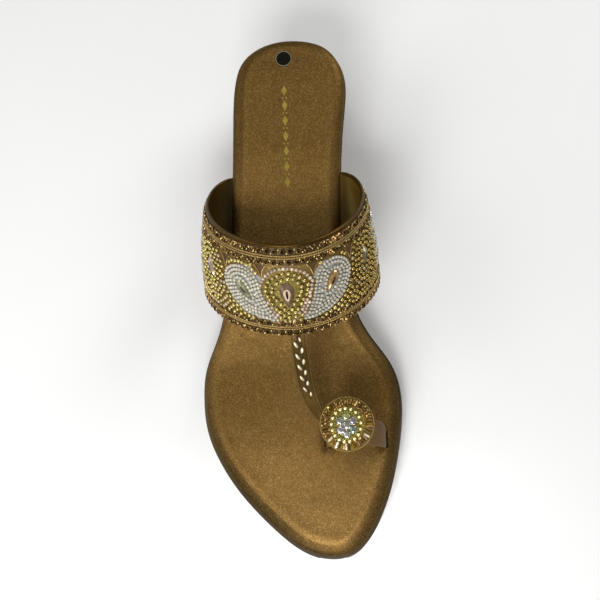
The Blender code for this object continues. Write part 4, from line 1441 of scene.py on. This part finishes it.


# cup sequins: a bright faceted rim and a dished middle painted darker as shade
CUP_T = lathe(((1.30, 0.0), (1.38, 0.45), (1.22, 0.92), (0.96, 1.06), (0.52, 0.66), (0.18, 0.50)), 8)
q_, t_ = CUP_T[1]
CUP_T = (CUP_T[0], [q_[:24], q_[24:], t_[:8], t_[8:]])
SQUARE_T = lathe(((1.42, 0.0), (1.48, 0.40), (1.05, 1.05), (0.52, 1.22)), 4, 0.5)

SIDE_SILVER = (29.4, 23.7, 18.0, 12.3)
SIDE_CORDS = ((26.15, 26.95), (20.45, 21.25), (14.75, 15.55), (9.05, 9.85))
COPPER_ROWS = (
    # v, pitch, size, s limit
    (38.3, 3.4, 1.0, 80.0), (33.6, 3.2, 0.92, 76.0), (5.4, 3.2, 0.92, 76.0), (0.75, 3.3, 0.98, 80.0),
)


def build_rows():
    made = []
    cup, r = Buffer(), np.random.default_rng(5)
    for row, (v, pitch, size, lim) in enumerate(COPPER_ROWS):
        s = np.arange(-S_ROWS + 1.2, S_ROWS - 0.9, pitch)
        n = len(s)
        pts = np.stack([s + r.uniform(-0.12, 0.12, n), v + r.uniform(-0.12, 0.12, n)], 1)
        # painted glints: about one sequin in seven is painted 2.1 times brighter
        place_on_band(cup, CUP_T, pts, r.uniform(0, 0.8, n), SKIN - 0.05,
                      np.stack([np.full(n, size)] * 3, 1) * (1 + r.uniform(-0.05, 0.05, (n, 1))),
                      [0, 2, 0, 2], False, (1 + r.uniform(-0.45, 0.35, n)) * np.where(r.uniform(0, 1, n) > 0.86, 2.1, 1.0))
        # a tiny bead between neighbours
        mid = np.stack([(s[:-1] + s[1:]) / 2, np.full(n - 1, v + 0.0) + np.where(np.arange(n - 1) % 2, 0.75, -0.75)], 1)
        place_on_band(cup, ROUND_T, mid, np.zeros(n - 1), SKIN + 0.35, 0.52, 1, True, 1 + r.uniform(-0.3, 0.2, n - 1))
    made.append(cup.make("copper_rows", [M["copper"], M["gold"], M["dish"]]))

    silver = Buffer()
    for sign in (-1, 1):
        for v in SIDE_SILVER:
            s = np.arange(S_MOTIF + 1.6, S_ROWS - 0.6, 2.2)
            n = len(s)
            pts = np.stack([sign * s, v + r.uniform(-0.08, 0.08, n)], 1)
            place_on_band(silver, lathe(((1.0, 0.0), (1.06, 0.4), (0.72, 1.0), (0.45, 1.12)), 8, 0.5), pts,
                          np.zeros(n), SKIN, 1.0, 0, False, 1 + r.uniform(-0.2, 0.1, n))
    made.append(silver.make("silver_rows", [M["silver"]]))

    cords = Buffer()
    s = np.linspace(-S_ROWS, S_ROWS, 300)
    for v in (36.35, 35.3, 3.75, 2.75):
        p, t, b, n = on_band(s, np.full(len(s), v), SKIN + 0.36)
        rope(cords, p, n, 0.47, 2.3)
    made.append(cords.make("border_cords", [M["cord"]]))

    side = Buffer()
    for sign in (-1, 1):
        s = sign * np.linspace(S_MOTIF + 0.3, S_ROWS - 0.2, 60)
        for pair in SIDE_CORDS:
            for k, v in enumerate(pair):
                p, t, b, n = on_band(s, np.full(len(s), v), SKIN + 0.34)
                rope(side, p, n, 0.42, 2.1, mat=k)
        # upright cord that closes the bead picture
        v = np.linspace(7.2, 32.0, 60)
        p, t, b, n = on_band(np.full(len(v), sign * (S_MOTIF + 0.1)), v, SKIN + 0.34)
        rope(side, p, n, 0.42, 2.1)
    # brown triangles with thin outlines
    for cx, wide, tip in TRIANGLES:
        q = np.vstack([smooth_curve(((cx - wide / 2, 32.2), (cx - wide / 5.5, 29.4), (cx, tip), (cx + wide / 5.5, 29.4),
                                     (cx + wide / 2, 32.2)), per=5)])
        c = np.array([cx, 31.0])
        n = len(q)
        top_, low_ = on_band(q[:, 0], q[:, 1], SKIN + 0.12)[0], on_band(q[:, 0], q[:, 1], SKIN - 0.2)[0]
        mid_ = np.stack([on_band(c[0], c[1], SKIN + 0.14)[0], on_band(c[0], c[1], SKIN - 0.2)[0]])
        i = np.arange(n)
        j = (i + 1) % n
        side.add(np.vstack([low_, top_, mid_]),
                 [np.stack([i, j, n + j, n + i], 1),
                  np.vstack([np.stack([n + i, n + j, np.full(n, 2 * n)], 1), np.stack([j, i, np.full(n, 2 * n + 1)], 1)])],
                 2, False, 1.0)
    for cx, wide, tip in TRIANGLES:
        q = smooth_curve(((cx - wide / 2, 32.0), (cx - wide / 5.5, 29.4), (cx, tip), (cx + wide / 5.5, 29.4), (cx + wide / 2, 32.0)))
        p, t, b, n = on_band(q[:, 0], q[:, 1], SKIN + 0.22)
        v_, f_ = tube_mesh(p, 0.26, 6, n)
        side.add(v_, f_, 0, True, 1.0)
    made.append(side.make("side_cords", [M["cord"], M["pale_cord"], M["patch"]], recalc=True))

    zig = Buffer()
    for sign in (-1, 1):
        for shift in (0.0, 0.75):
            v = np.arange(1.0 + shift * 0.5, 40.2, 0.75)
            a = np.where(np.arange(len(v)) % 2 == 0, S_ROWS + 0.25, S_ZIG - 0.3)
            if shift:
                a = np.where(np.arange(len(v)) % 2 == 0, S_ZIG - 0.3, S_ROWS + 0.25)
            q = resample(np.stack([sign * a, v], 1), 0.45)[0]
            p, t, b, n = on_band(q[:, 0], q[:, 1], SKIN + 0.22 + 0.14 * shift)
            vv, ff = tube_mesh(p, 0.27, 5, n)
            zig.add(vv, ff, 0, True, 1.0 - 0.12 * shift)
        for sv, rad in ((S_ROWS - 0.05, 0.3), (S_ZIG - 0.1, 0.3)):
            v = np.linspace(0.8, 40.2, 80)
            p, t, b, n = on_band(np.full(len(v), sign * sv), v, SKIN + 0.22)
            rope(zig, p, n, rad, 1.6, step=0.4)
    made.append(zig.make("zigzag_border", [M["thread"]], recalc=True))
    return made


# -------------------------------------------------------------------- T-strap
def strap_curve():
    p = np.array(T_STRAP, float)
    keys = np.r_[0, np.cumsum(np.linalg.norm(np.diff(p, axis=0), axis=1))]
    fs = [natural_spline(keys, p[:, k]) for k in range(3)]
    u = np.linspace(0, keys[-1], 121)
    line = np.stack([f(u) for f in fs], 1)
    t = unit(np.gradient(line, axis=0))
    side = np.tile([1.0, 0, 0], (len(u), 1))
    side = unit(side - t * (side * t).sum(1, keepdims=True))
    up = unit(np.cross(side, t))
    up = np.where(up[:, 2:3] < 0, -up, up)
    return u, line, t, side, up


def build_t_strap():
    u, line, t, side, up = strap_curve()
    share = u / u[-1]
    half = T_WIDTH / 2 * (1 - 0.38 * smooth_step(share, 0.55, 1.0))
    k = 24
    a = 2 * np.pi * np.arange(k) / k
    sx = np.sign(np.cos(a)) * np.abs(np.cos(a)) ** 0.35
    sz = np.sign(np.sin(a)) * np.abs(np.sin(a)) ** 0.7
    v = (line[:, None] + side[:, None] * (half[:, None] * sx[None])[..., None]
         + up[:, None] * (0.85 * sz)[None, :, None])
    i = np.arange(k)
    j = (i + 1) % k
    base = (np.arange(len(u) - 1) * k)[:, None]
    quads = np.stack([base + i, base + j, base + k + j, base + k + i], 2).reshape(-1, 4)
    verts = np.vstack([v.reshape(-1, 3), line[:1], line[-1:]])
    c0, c1, last = len(u) * k, len(u) * k + 1, (len(u) - 1) * k
    caps = np.vstack([np.stack([np.full(k, c0), j, i], 1), np.stack([np.full(k, c1), last + i, last + j], 1)])
    body = Buffer()
    body.add(verts, [quads, caps])
    made = [body.make("t_strap_body", [M["strap"]], recalc=True)]
    # light piping on both edges
    pipe = Buffer()
    for sgn in (-1, 1):
        q = line + side * (sgn * (half - 0.15))[:, None] + up * 0.45
        thick = np.linspace(0.42, 0.62 if sgn > 0 else 0.5, len(q) - 6)
        vv, ff = tube_mesh(q[6:], thick, 8, up[6:])
        pipe.add(vv, ff, 0, True, 1.45 if sgn < 0 else 1.55)
    made.append(pipe.make("t_strap_piping", [M["strap_edge"]], recalc=True))
    # plaited chain down the middle
    link = turn(lathe(((0.10, -1.0), (0.55, -0.80), (0.92, -0.42), (1.0, 0.0), (0.92, 0.42), (0.55, 0.80), (0.10, 1.0)), 10))
    chain = Buffer()
    end = float(np.interp(73.6, line[::-1, 1], u[::-1]))
    start = float(np.interp(98.4, line[::-1, 1], u[::-1])) + 5.6
    pitch = 6.3
    for col, slant, shift, size in ((-1, 24, 0.0, 1.0), (1, -10, pitch / 2, 0.88), (0.55, 8, -2.5, 0.7)):
        at = np.arange(start + shift, end + 0.5, pitch)
        if shift < 0:
            at = at[:1]
        q = np.stack([np.interp(at, u, line[:, c]) for c in range(3)], 1)
        tt = unit(np.stack([np.interp(at, u, t[:, c]) for c in range(3)], 1))
        sd = unit(np.stack([np.interp(at, u, side[:, c]) for c in range(3)], 1))
        uu = unit(np.cross(sd, tt))
        uu = np.where(uu[:, 2:3] < 0, -uu, uu)
        # t runs to the toe; lean each link in the strap's plane
        ang = math.radians(slant)
        ax = tt * math.cos(ang) + sd * math.sin(ang)
        ay = np.cross(uu, ax)
        along = (at - start) / (end - start)
        narrow = (1.5 - 0.55 * along if col < 0 else 0.95 - 0.02 * along)[:, None]
        pos = q + sd * (narrow * col) + uu * 1.2
        n = len(at)
        link_size = np.tile([1.85 * size, (0.72 if col < 0 else 0.82) * size, 0.74], (n, 1)) * (1 - 0.3 * ((at - start) / (end - start))[:, None] ** 3)
        chain.place(link, pos, ax, ay, uu, link_size, 0, True, 1.0)
    sel = (u >= start - 6.5) & (u <= end + 2.0)
    q = line[sel] + up[sel] * 0.9
    vv, ff = tube_mesh(q, 1.05 - 0.7 * np.clip((u[sel] - start) / (end - start), 0, 1.05) ** 1.6, 10, up[sel], flat=0.3)
    chain.add(vv, ff, 1, True, 1.0)
    made.append(chain.make("t_strap_chain", [M["link"], M["channel"]], recalc=True))
    return made


# ------------------------------------------------------------------- toe ring
def ring_path(cells=64, drop=0.0):
    mid, half = (RING_LATERAL + RING_MEDIAL) / 2, (RING_MEDIAL - RING_LATERAL) / 2
    floor = float(wedge_top(RING[0][1])) + GAP * 1.6
    base = float(footbed(RING[0][1]))
    leg, top = base + 5.0, base + RING_RISE
    e = 2 / RING_POWER
    u = np.pi * (1 - np.arange(cells + 1) / cells)
    c, s = np.cos(u), np.sin(u)
    x = mid + half * np.sign(c) * np.abs(c) ** e
    z = leg + (top - leg) * np.abs(s) ** e
    up_legs = np.linspace(floor - drop, leg, 8)[:-1]
    path = np.vstack([np.stack([np.full(7, mid - half), up_legs], 1), np.stack([x, z], 1),
                      np.stack([np.full(7, mid + half), up_legs[::-1]], 1)])
    return path


def ring_sections(grow=0.0, drop=0.0, fine=True):
    path = ring_path(drop=drop)
    run = np.r_[0, np.cumsum(np.linalg.norm(np.diff(path, axis=0), axis=1))]
    share = run / run[-1]
    st = column(RING, 0, 1)(share)
    wd = column(RING, 0, 2)(share) / 2 + grow
    d = unit(np.gradient(path, axis=0))
    nrm = np.stack([-d[:, 1], d[:, 0]], 1)
    return path, nrm, st, wd


def build_toe_ring():
    path, nrm, st, wd = ring_sections()
    k = 28
    a = 2 * np.pi * np.arange(k) / k
    sx = np.sign(np.cos(a)) * np.abs(np.cos(a)) ** 0.3
    sz = np.sign(np.sin(a)) * np.abs(np.sin(a)) ** 0.75
    thick = 0.85
    # the strip is a little fuller along its middle
    x = path[:, 0, None] + nrm[:, 0, None] * thick * sz[None]
    z = path[:, 1, None] + nrm[:, 1, None] * thick * sz[None]
    t = st[:, None] + wd[:, None] * sx[None]
    v = np.stack([x, t, z], 2)
    m = len(path)
    i = np.arange(k)
    j = (i + 1) % k
    base = (np.arange(m - 1) * k)[:, None]
    quads = np.stack([base + i, base + j, base + k + j, base + k + i], 2).reshape(-1, 4)
    ends = v[[0, -1]].mean(1)
    c0, c1, last = m * k, m * k + 1, (m - 1) * k
    caps = np.vstack([np.stack([np.full(k, c0), j, i], 1), np.stack([np.full(k, c1), last + i, last + j], 1)])
    buf = Buffer()
    buf.add(np.vstack([v.reshape(-1, 3), ends]), [quads, caps])
    return buf.make("toe_ring_strip", [M["taupe"]], recalc=True)


def slot_cutters():
    made = []
    for name, (x, t, hx, ht) in zip(("slot_a", "slot_b"), slot_places()):
        base = float(footbed(t))
        k = 24
        a = 2 * np.pi * np.arange(k) / k
        sx = np.sign(np.cos(a)) * np.abs(np.cos(a)) ** 0.6
        sy = np.sign(np.sin(a)) * np.abs(np.sin(a)) ** 0.4
        rows = []
        for z, g in ((base - 4.4, 0.0), (base - 0.9, 0.0), (base + 4.0, 0.0)):
            rows.append(np.stack([x + (hx + g) * sx, t + (ht + g) * sy, np.full(k, z)], 1))
        i = np.arange(k)
        j = (i + 1) % k
        v = np.vstack(rows + [np.array([[x, t, base - 4.4], [x, t, base + 4.0]])])
        quads = np.vstack([np.stack([r * k + i, r * k + j, (r + 1) * k + j, (r + 1) * k + i], 1) for r in range(2)])
        caps = np.vstack([np.stack([np.full(k, 3 * k), j, i], 1), np.stack([np.full(k, 3 * k + 1), 2 * k + i, 2 * k + j], 1)])
        buf = Buffer()
        buf.add(v, [quads, caps])
        made.append(buf.make(name, [M["bed"]], recalc=True))
    return made


# ------------------------------------------------------------------ medallion
def medal_frame():
    tilt = math.radians(MEDAL_TILT)
    cx, ct = MEDAL_CENTRE
    base = float(footbed(RING[0][1])) + RING_RISE + STRAP_THICK / 2 + GAP
    reach = abs(ct - RING[2][1]) + RING[2][2] / 2
    base += reach * math.tan(tilt)
    ex = np.array([1.0, 0, 0])
    ey = np.array([0, math.cos(tilt), math.sin(tilt)])
    ez = np.array([0, -math.sin(tilt), math.cos(tilt)])
    return np.array([cx, ct, base]), ex, ey, ez


def medal_point(r, a, h):
    o, ex, ey, ez = medal_frame()
    r, a, h = np.broadcast_arrays(np.asarray(r, float), np.asarray(a, float), np.asarray(h, float))
    return (o + (r * np.cos(a))[..., None] * ex + (r * np.sin(a))[..., None] * ey + h[..., None] * ez)


def medal_axes(a):
    """Radial, tangent and normal directions at angles a."""
    o, ex, ey, ez = medal_frame()
    a = np.asarray(a, float)
    rad = np.cos(a)[:, None] * ex + np.sin(a)[:, None] * ey
    tan = -np.sin(a)[:, None] * ex + np.cos(a)[:, None] * ey
    return rad, tan, np.tile(ez, (len(a), 1))


def build_medallion():
    made = []
    r = np.random.default_rng(11)
    o, ex, ey, ez = medal_frame()
    disc = Buffer()
    rows = ((10.8, 0.0), (12.0, 0.15), (12.35, 0.7), (12.25, 1.25), (11.7, 1.6), (8.0, 1.75), (4.0, 1.95), (1.0, 2.0))
    tv, tf = lathe(rows, 72)
    # quads come ring by ring; the last one lies under the seed beads
    zone = np.zeros(len(tf[0]), int)
    zone[-2 * 72:] = 1
    disc.place((tv, [tf[0][zone == 0], tf[0][zone == 1]] + list(tf[1:])), [o], np.array([ex]), np.array([ey]), np.array([ez]),
               1.0, [0, 1] + [1] * len(tf[1:]))
    made.append(disc.make("medallion_disc", [M["medal"], M["olive_cloth"]]))

    # outer cord
    cords = Buffer()
    a = np.linspace(0, 2 * np.pi, 200, endpoint=False)
    rope(cords, medal_point(12.1, a, 1.65), np.tile(ez, (200, 1)), 0.30, 1.6, closed=True, tone=0.85)
    made.append(cords.make("medallion_cord", [M["thread"]]))

    # radial bugle beads
    bugle = turn(lathe(((0.30, -1.0), (0.62, -0.98), (0.66, -0.8), (0.66, 0.8), (0.62, 0.98), (0.30, 1.0)), 8, 0.5))
    n = 46
    a = 2 * np.pi * np.arange(n) / n + r.uniform(-0.03, 0.03, n)
    rad, tan, nrm = medal_axes(a)
    buf = Buffer()
    reach = 10.3 + r.uniform(-0.18, 0.14, n)
    lean = r.uniform(-0.2, 0.2, (2, n, 1))
    nrm = unit(nrm + rad * lean[0])
    tan = unit(tan + rad * lean[1] * 0.7)
    rad = np.cross(tan, nrm)
    deg = np.degrees(a) % 360
    # painted glints: a few bugles along the toe side are pale gold
    pale = np.zeros(n, bool)
    for want in (219, 241, 268, 328):
        pale[np.argmin(np.abs(deg - want))] = True
    # painted light: bugles brighter towards 60 and 350 degrees round the disc
    tones = 1 + r.uniform(-0.5, 0.6, n) + 0.3 * np.exp(-((deg - 60) / 40) ** 2) + 0.5 * np.exp(-((deg - 350) / 16) ** 2)
    size = np.stack([1.36 * (1 + r.uniform(-0.12, 0.06, n)), np.full(n, 0.92), np.full(n, 0.92)], 1)
    # some are coppery, mostly towards the heel and at the foot of the disc
    warm = ~pale & (r.uniform(0, 1, n) < 0.25 + 0.4 * np.exp(-((deg - 150) / 25) ** 2) + 0.3 * np.exp(-((deg - 290) / 25) ** 2))
    for sel, mat in ((~pale & ~warm, 0), (pale, 1), (warm, 2)):
        buf.place(bugle, medal_point(reach[sel], a[sel], 2.18), rad[sel], tan[sel], nrm[sel], size[sel], mat, False,
                  1.0 if mat == 1 else tones[sel])
    # short flat pieces between the bugles and the round beads, and over the heelward half
    chip = lathe(((0.62, -0.45), (1.0, -0.1), (1.0, 0.25), (0.55, 0.5)), 4, 0.5)
    n = 60
    w = 2 * np.pi * (np.arange(n) + r.uniform(-0.3, 0.3, n)) / n
    far = 8.75 + r.uniform(-0.25, 0.25, n)
    w2 = np.radians(np.linspace(10, 200, 44)) + r.uniform(-0.03, 0.03, 44)
    w = np.r_[w, w2]
    far = np.r_[far, np.where(np.arange(44) % 2, 11.1, 9.95) + r.uniform(-0.25, 0.25, 44)]
    n = len(w)
    rad, tan, nrm = medal_axes(w)
    nrm = unit(nrm + rad * r.uniform(-0.3, 0.3, (n, 1)) + tan * r.uniform(-0.3, 0.3, (n, 1)))
    tan = unit(np.cross(nrm, rad))
    rad = np.cross(tan, nrm)
    kind = r.choice(3, n, p=(0.55, 0.3, 0.15))
    for mat in range(3):
        q = kind == mat
        buf.place(chip, medal_point(far[q], w[q], np.where(np.arange(n)[q] < 60, 2.06, 2.75)), rad[q], tan[q], nrm[q],
                  np.tile([0.56, 0.56, 0.7], (int(q.sum()), 1)), (0, 2, 3)[mat], False, 1 + r.uniform(-0.45, 0.7, int(q.sum())))
    made.append(buf.make("medallion_bugles", [M["bugle"], M["glow"], M["copper"], M["amber_gold"]]))

    # round gold beads and the small inner ring
    buf = Buffer()
    n = 17
    a = 2 * np.pi * np.arange(n) / n + 0.1
    rad, tan, nrm = medal_axes(a)
    q = np.stack([6.65 * np.cos(a) - 0.35, 7.5 * np.sin(a) - 0.5], 1)
    buf.place(ROUND_T, medal_point(np.hypot(*q.T), np.arctan2(q[:, 1], q[:, 0]), 2.45), rad, tan, nrm, 0.90, 0, True,
              1.15 + r.uniform(-0.12, 0.12, n))
    n = 30
    a = 2 * np.pi * np.arange(n) / n
    rad, tan, nrm = medal_axes(a)
    q = np.stack([5.35 * np.cos(a) - 0.25, 6.25 * np.sin(a) - 0.6], 1)
    buf.place(BEAD_T, medal_point(np.hypot(*q.T), np.arctan2(q[:, 1], q[:, 0]), 2.35), tan, nrm, rad, 0.58, 1, True,
              1 + r.uniform(-0.2, 0.2, n))
    made.append(buf.make("medallion_beads", [M["bright"], M["lime"]]))

    # seven clear cut stones in cups
    cut_stone = lathe(((0.86, 0.0), (1.0, 0.22), (1.0, 0.36), (0.70, 0.70), (0.5, 0.78)), 8)
    buf = Buffer()
    spots = [(-0.15, -0.55)] + [(3.35 * math.cos(w) - 0.15, 4.05 * math.sin(w) - 0.6)
                                for w in (math.radians(90 + 60 * k) for k in range(6))]
    for k, (sx, sy) in enumerate(spots):
        rr, aa = math.hypot(sx, sy), math.atan2(sy, sx)
        rad, tan, nrm = medal_axes([aa + r.uniform(0, 0.7)])
        lean = r.uniform(-0.06, 0.06, 2)
        nn = unit(nrm + rad * lean[0] + tan * lean[1])
        rad = unit(rad - nn * (rad * nn).sum(1, keepdims=True))
        tan = np.cross(nn, rad)
        lift = 2.15 if k else 2.45
        # order: middle, then from the upper right round
        tint = (0, 3, 0, 2, 0, 4, 2)[k]
        # painted highlight: the stone on the toe side is painted 1.5 times brighter
        buf.place(cut_stone, medal_point(rr, aa, lift)[None], rad, tan, nn, 1.82, tint, False,
                  (1.5 if k == 4 else 1.0) + r.uniform(-0.1, 0.1))
        cup = lathe(((1.75, 0.0), (1.9, 0.2), (1.86, 0.7), (1.7, 0.72)), 20)
        buf.place(cup, medal_point(rr, aa, lift - 0.35)[None], rad, tan, nn, 1.0, 1, True, 1.0)
    made.append(buf.make("medallion_stones", [M["clear"], M["silver"], M["lilac"], M["mint"], M["teal"]]))
    return made


# -------------------------------------------------------- marks on the footbed
def on_bed(tree, x, t, lift):
    hits = []
    for a, b in zip(np.ravel(x), np.ravel(t)):
        loc, nor, _, _ = tree.ray_cast(Vector((a * MM, (b - LENGTH / 2) * MM, 0.2)), Vector((0, 0, -1)))
        z = loc.z / MM if loc is not None else float(footbed(b))
        hits.append([a, b, z + lift])
    return np.array(hits)


def build_marks(bed):
    dg = bpy.context.evaluated_depsgraph_get()
    tree = BVHTree.FromObject(bed, dg)
    made = []
    foil = Buffer()

    def patch(outline_xy, mat=0, lift=0.07, base=-0.15, tone=1.0):
        n = len(outline_xy)
        c = outline_xy.mean(0)
        top = on_bed(tree, outline_xy[:, 0], outline_xy[:, 1], lift)
        low = top - [0, 0, lift - base]
        mid = on_bed(tree, [c[0]], [c[1]], lift + 0.01)
        bot = mid - [0, 0, lift - base]
        i = np.arange(n)
        j = (i + 1) % n
        foil.add(np.vstack([low, top, bot, mid]),
                 [np.stack([i, j, n + j, n + i], 1),
                  np.vstack([np.stack([np.full(n, 2 * n), j, i], 1), np.stack([np.full(n, 2 * n + 1), n + i, n + j], 1)])],
                 mat, False, tone)

    # a slim row of lozenges and dots in foil
    x0 = -2.2
    for k in range(7):
        t = 176.5 + 7.4 * k
        u = 2 * np.pi * np.arange(16) / 16
        e = 1.0
        cs, sn = np.cos(u), np.sin(u)
        m = np.abs(cs) + np.abs(sn)
        patch(np.stack([x0 + 1.35 * cs / m, t + 2.5 * sn / m], 1))
        if k < 6:
            for dx in (-0.85, 0.85):
                patch(np.stack([x0 + dx + 0.42 * cs, t + 3.7 + 0.42 * sn], 1))
    made.append(foil.make("heel_foil", [M["foil"]], recalc=True))
    foil = Buffer()

    u = 2 * np.pi * np.arange(48) / 48
    cx, ct = -2.0, 237.0
    rings = []
    for r, lift in ((4.15, -0.1), (4.15, 0.10), (4.0, 0.14), (3.55, 0.14), (3.5, 0.135), (3.0, 0.135)):
        rings.append(on_bed(tree, cx + r * np.cos(u), ct + r * np.sin(u), lift))
    n = 48
    i = np.arange(n)
    j = (i + 1) % n
    mid = on_bed(tree, [cx], [ct], 0.135)
    faces, mats = [], []
    for k in range(len(rings) - 1):
        faces.append(np.stack([k * n + i, k * n + j, (k + 1) * n + j, (k + 1) * n + i], 1))
        mats.append(1 if k in (2,) else 0)
    last = (len(rings) - 1) * n
    c = len(rings) * n
    faces.append(np.stack([np.full(n, c + 1), last + i, last + j], 1))
    mats.append(0)
    faces.append(np.stack([np.full(n, c), j, i], 1))
    mats.append(0)
    buf = Buffer()
    buf.add(np.vstack(rings + [mid - [0, 0, 0.3], mid]), faces, mats)
    made.append(buf.make("heel_disc", [M["ink"], M["pale"]], recalc=True))
    return made


# ----------------------------------------------------------------- the camera
def build_camera():
    """The photo's place and roll, turned to the middle of this shoe."""
    place = np.array([39.5, -134.5, 530.3]) * MM
    f0 = np.array([0.0126, 0.2622, -0.9649])
    u0 = np.array([0.0461, 0.9638, 0.2625])
    f0 = f0 / np.linalg.norm(f0)
    u0 = unit(u0 - f0 * (u0 @ f0))
    r0 = np.cross(f0, u0)
    aim = unit(f0 + r0 * (237.5 - 300) / 734.4 - u0 * (311 - 300) / 734.4)
    up = unit(u0 - aim * (u0 @ aim))
    right = np.cross(aim, up)
    m = Matrix(((right[0], up[0], -aim[0], place[0]),
                (right[1], up[1], -aim[1], place[1]),
                (right[2], up[2], -aim[2], place[2]),
                (0, 0, 0, 1)))
    cam = bpy.data.cameras.new("camera")
    cam.sensor_width = 36.0
    cam.lens = 1094.0 / 600.0 * 36.0
    cam.clip_start, cam.clip_end = 0.02, 20
    ob = bpy.data.objects.new("camera", cam)
    ob.matrix_world = m
    bpy.context.scene.collection.objects.link(ob)
    bpy.context.scene.camera = ob


def area(name, place, target, size, power, colour=(1, 1, 1), spread=180):
    light = bpy.data.lights.new(name, "AREA")
    light.shape = "RECTANGLE"
    light.size, light.size_y = size
    light.energy = power
    light.spread = math.radians(spread)
    light.color = colour
    ob = bpy.data.objects.new(name, light)
    ob.location = place
    ob.rotation_euler = (Vector(target) - Vector(place)).to_track_quat("-Z", "Y").to_euler()
    bpy.context.scene.collection.objects.link(ob)


def build_stage():
    me = bpy.data.meshes.new("floor")
    s = 2.5
    me.from_pydata([(-s, -s, -0.00003), (s, -s, -0.00003), (s, s, -0.00003), (-s, s, -0.00003)], [], [(0, 1, 2, 3)])
    ob = bpy.data.objects.new("floor", me)
    bpy.context.scene.collection.objects.link(ob)
    m, nt, p = principled("floor_paper", (0.86, 0.86, 0.85), 0.75)
    at = coords(nt)
    c = two_tone(nt, noise(nt, at, 6.0), (0.845, 0.845, 0.838), (0.868, 0.868, 0.862))
    nt.links.new(c, p.inputs["Base Color"])
    me.materials.append(m)
    world = bpy.data.worlds.new("studio")
    world.use_nodes = True
    world.node_tree.nodes["Background"].inputs["Color"].default_value = (1.0, 1.0, 1.0, 1)
    world.node_tree.nodes["Background"].inputs["Strength"].default_value = 0.17
    bpy.context.scene.world = world
    # key from the toe side, a broad overhead, a fill from the lateral side
    area("key", (-0.12, -0.46, 0.47), (0.0, -0.02, 0.02), (0.34, 0.34), 3.65)
    area("overhead", (0.0, 0.30, 1.20), (0, 0.0, 0), (0.7, 0.7), 1.08)
    area("fill", (-0.9, 0.0, 0.6), (0, 0, 0.03), (0.6, 0.6), 2.2)
    area("toe", (-0.01, -0.28, 0.50), (0.012, -0.150, 0.0), (0.10, 0.10), 0.028, spread=18)
    area("back", (0.60, 0.60, 0.52), (0, 0.08, 0.0), (0.5, 0.5), 4.2)
    area("rear", (-0.72, 0.62, 0.40), (-0.02, 0.16, 0.0), (0.5, 0.5), 1.9)
    bpy.context.scene.view_settings.view_transform = "Standard"


def main():
    pieces = []
    tread = build_tread()
    wedge = build_wedge()
    bed = build_footbed()
    cut(bed, slot_cutters())
    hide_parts("outsole")
    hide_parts("wedge")
    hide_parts("insole")
    pieces += [tread, wedge, bed]
    marks = build_marks(bed)
    pieces += marks

    band = build_band()
    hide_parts("upper")
    beads, stones, outlines = build_beads()
    band += beads
    band.append(build_stones(stones))
    band += build_rows()
    band += build_t_strap()
    band.append(build_toe_ring())
    pieces += band
    medal = build_medallion()
    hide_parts("medallion")
    pieces += medal
    for ob in pieces:
        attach(ob, "root")
    build_stage()
    build_camera()


main()
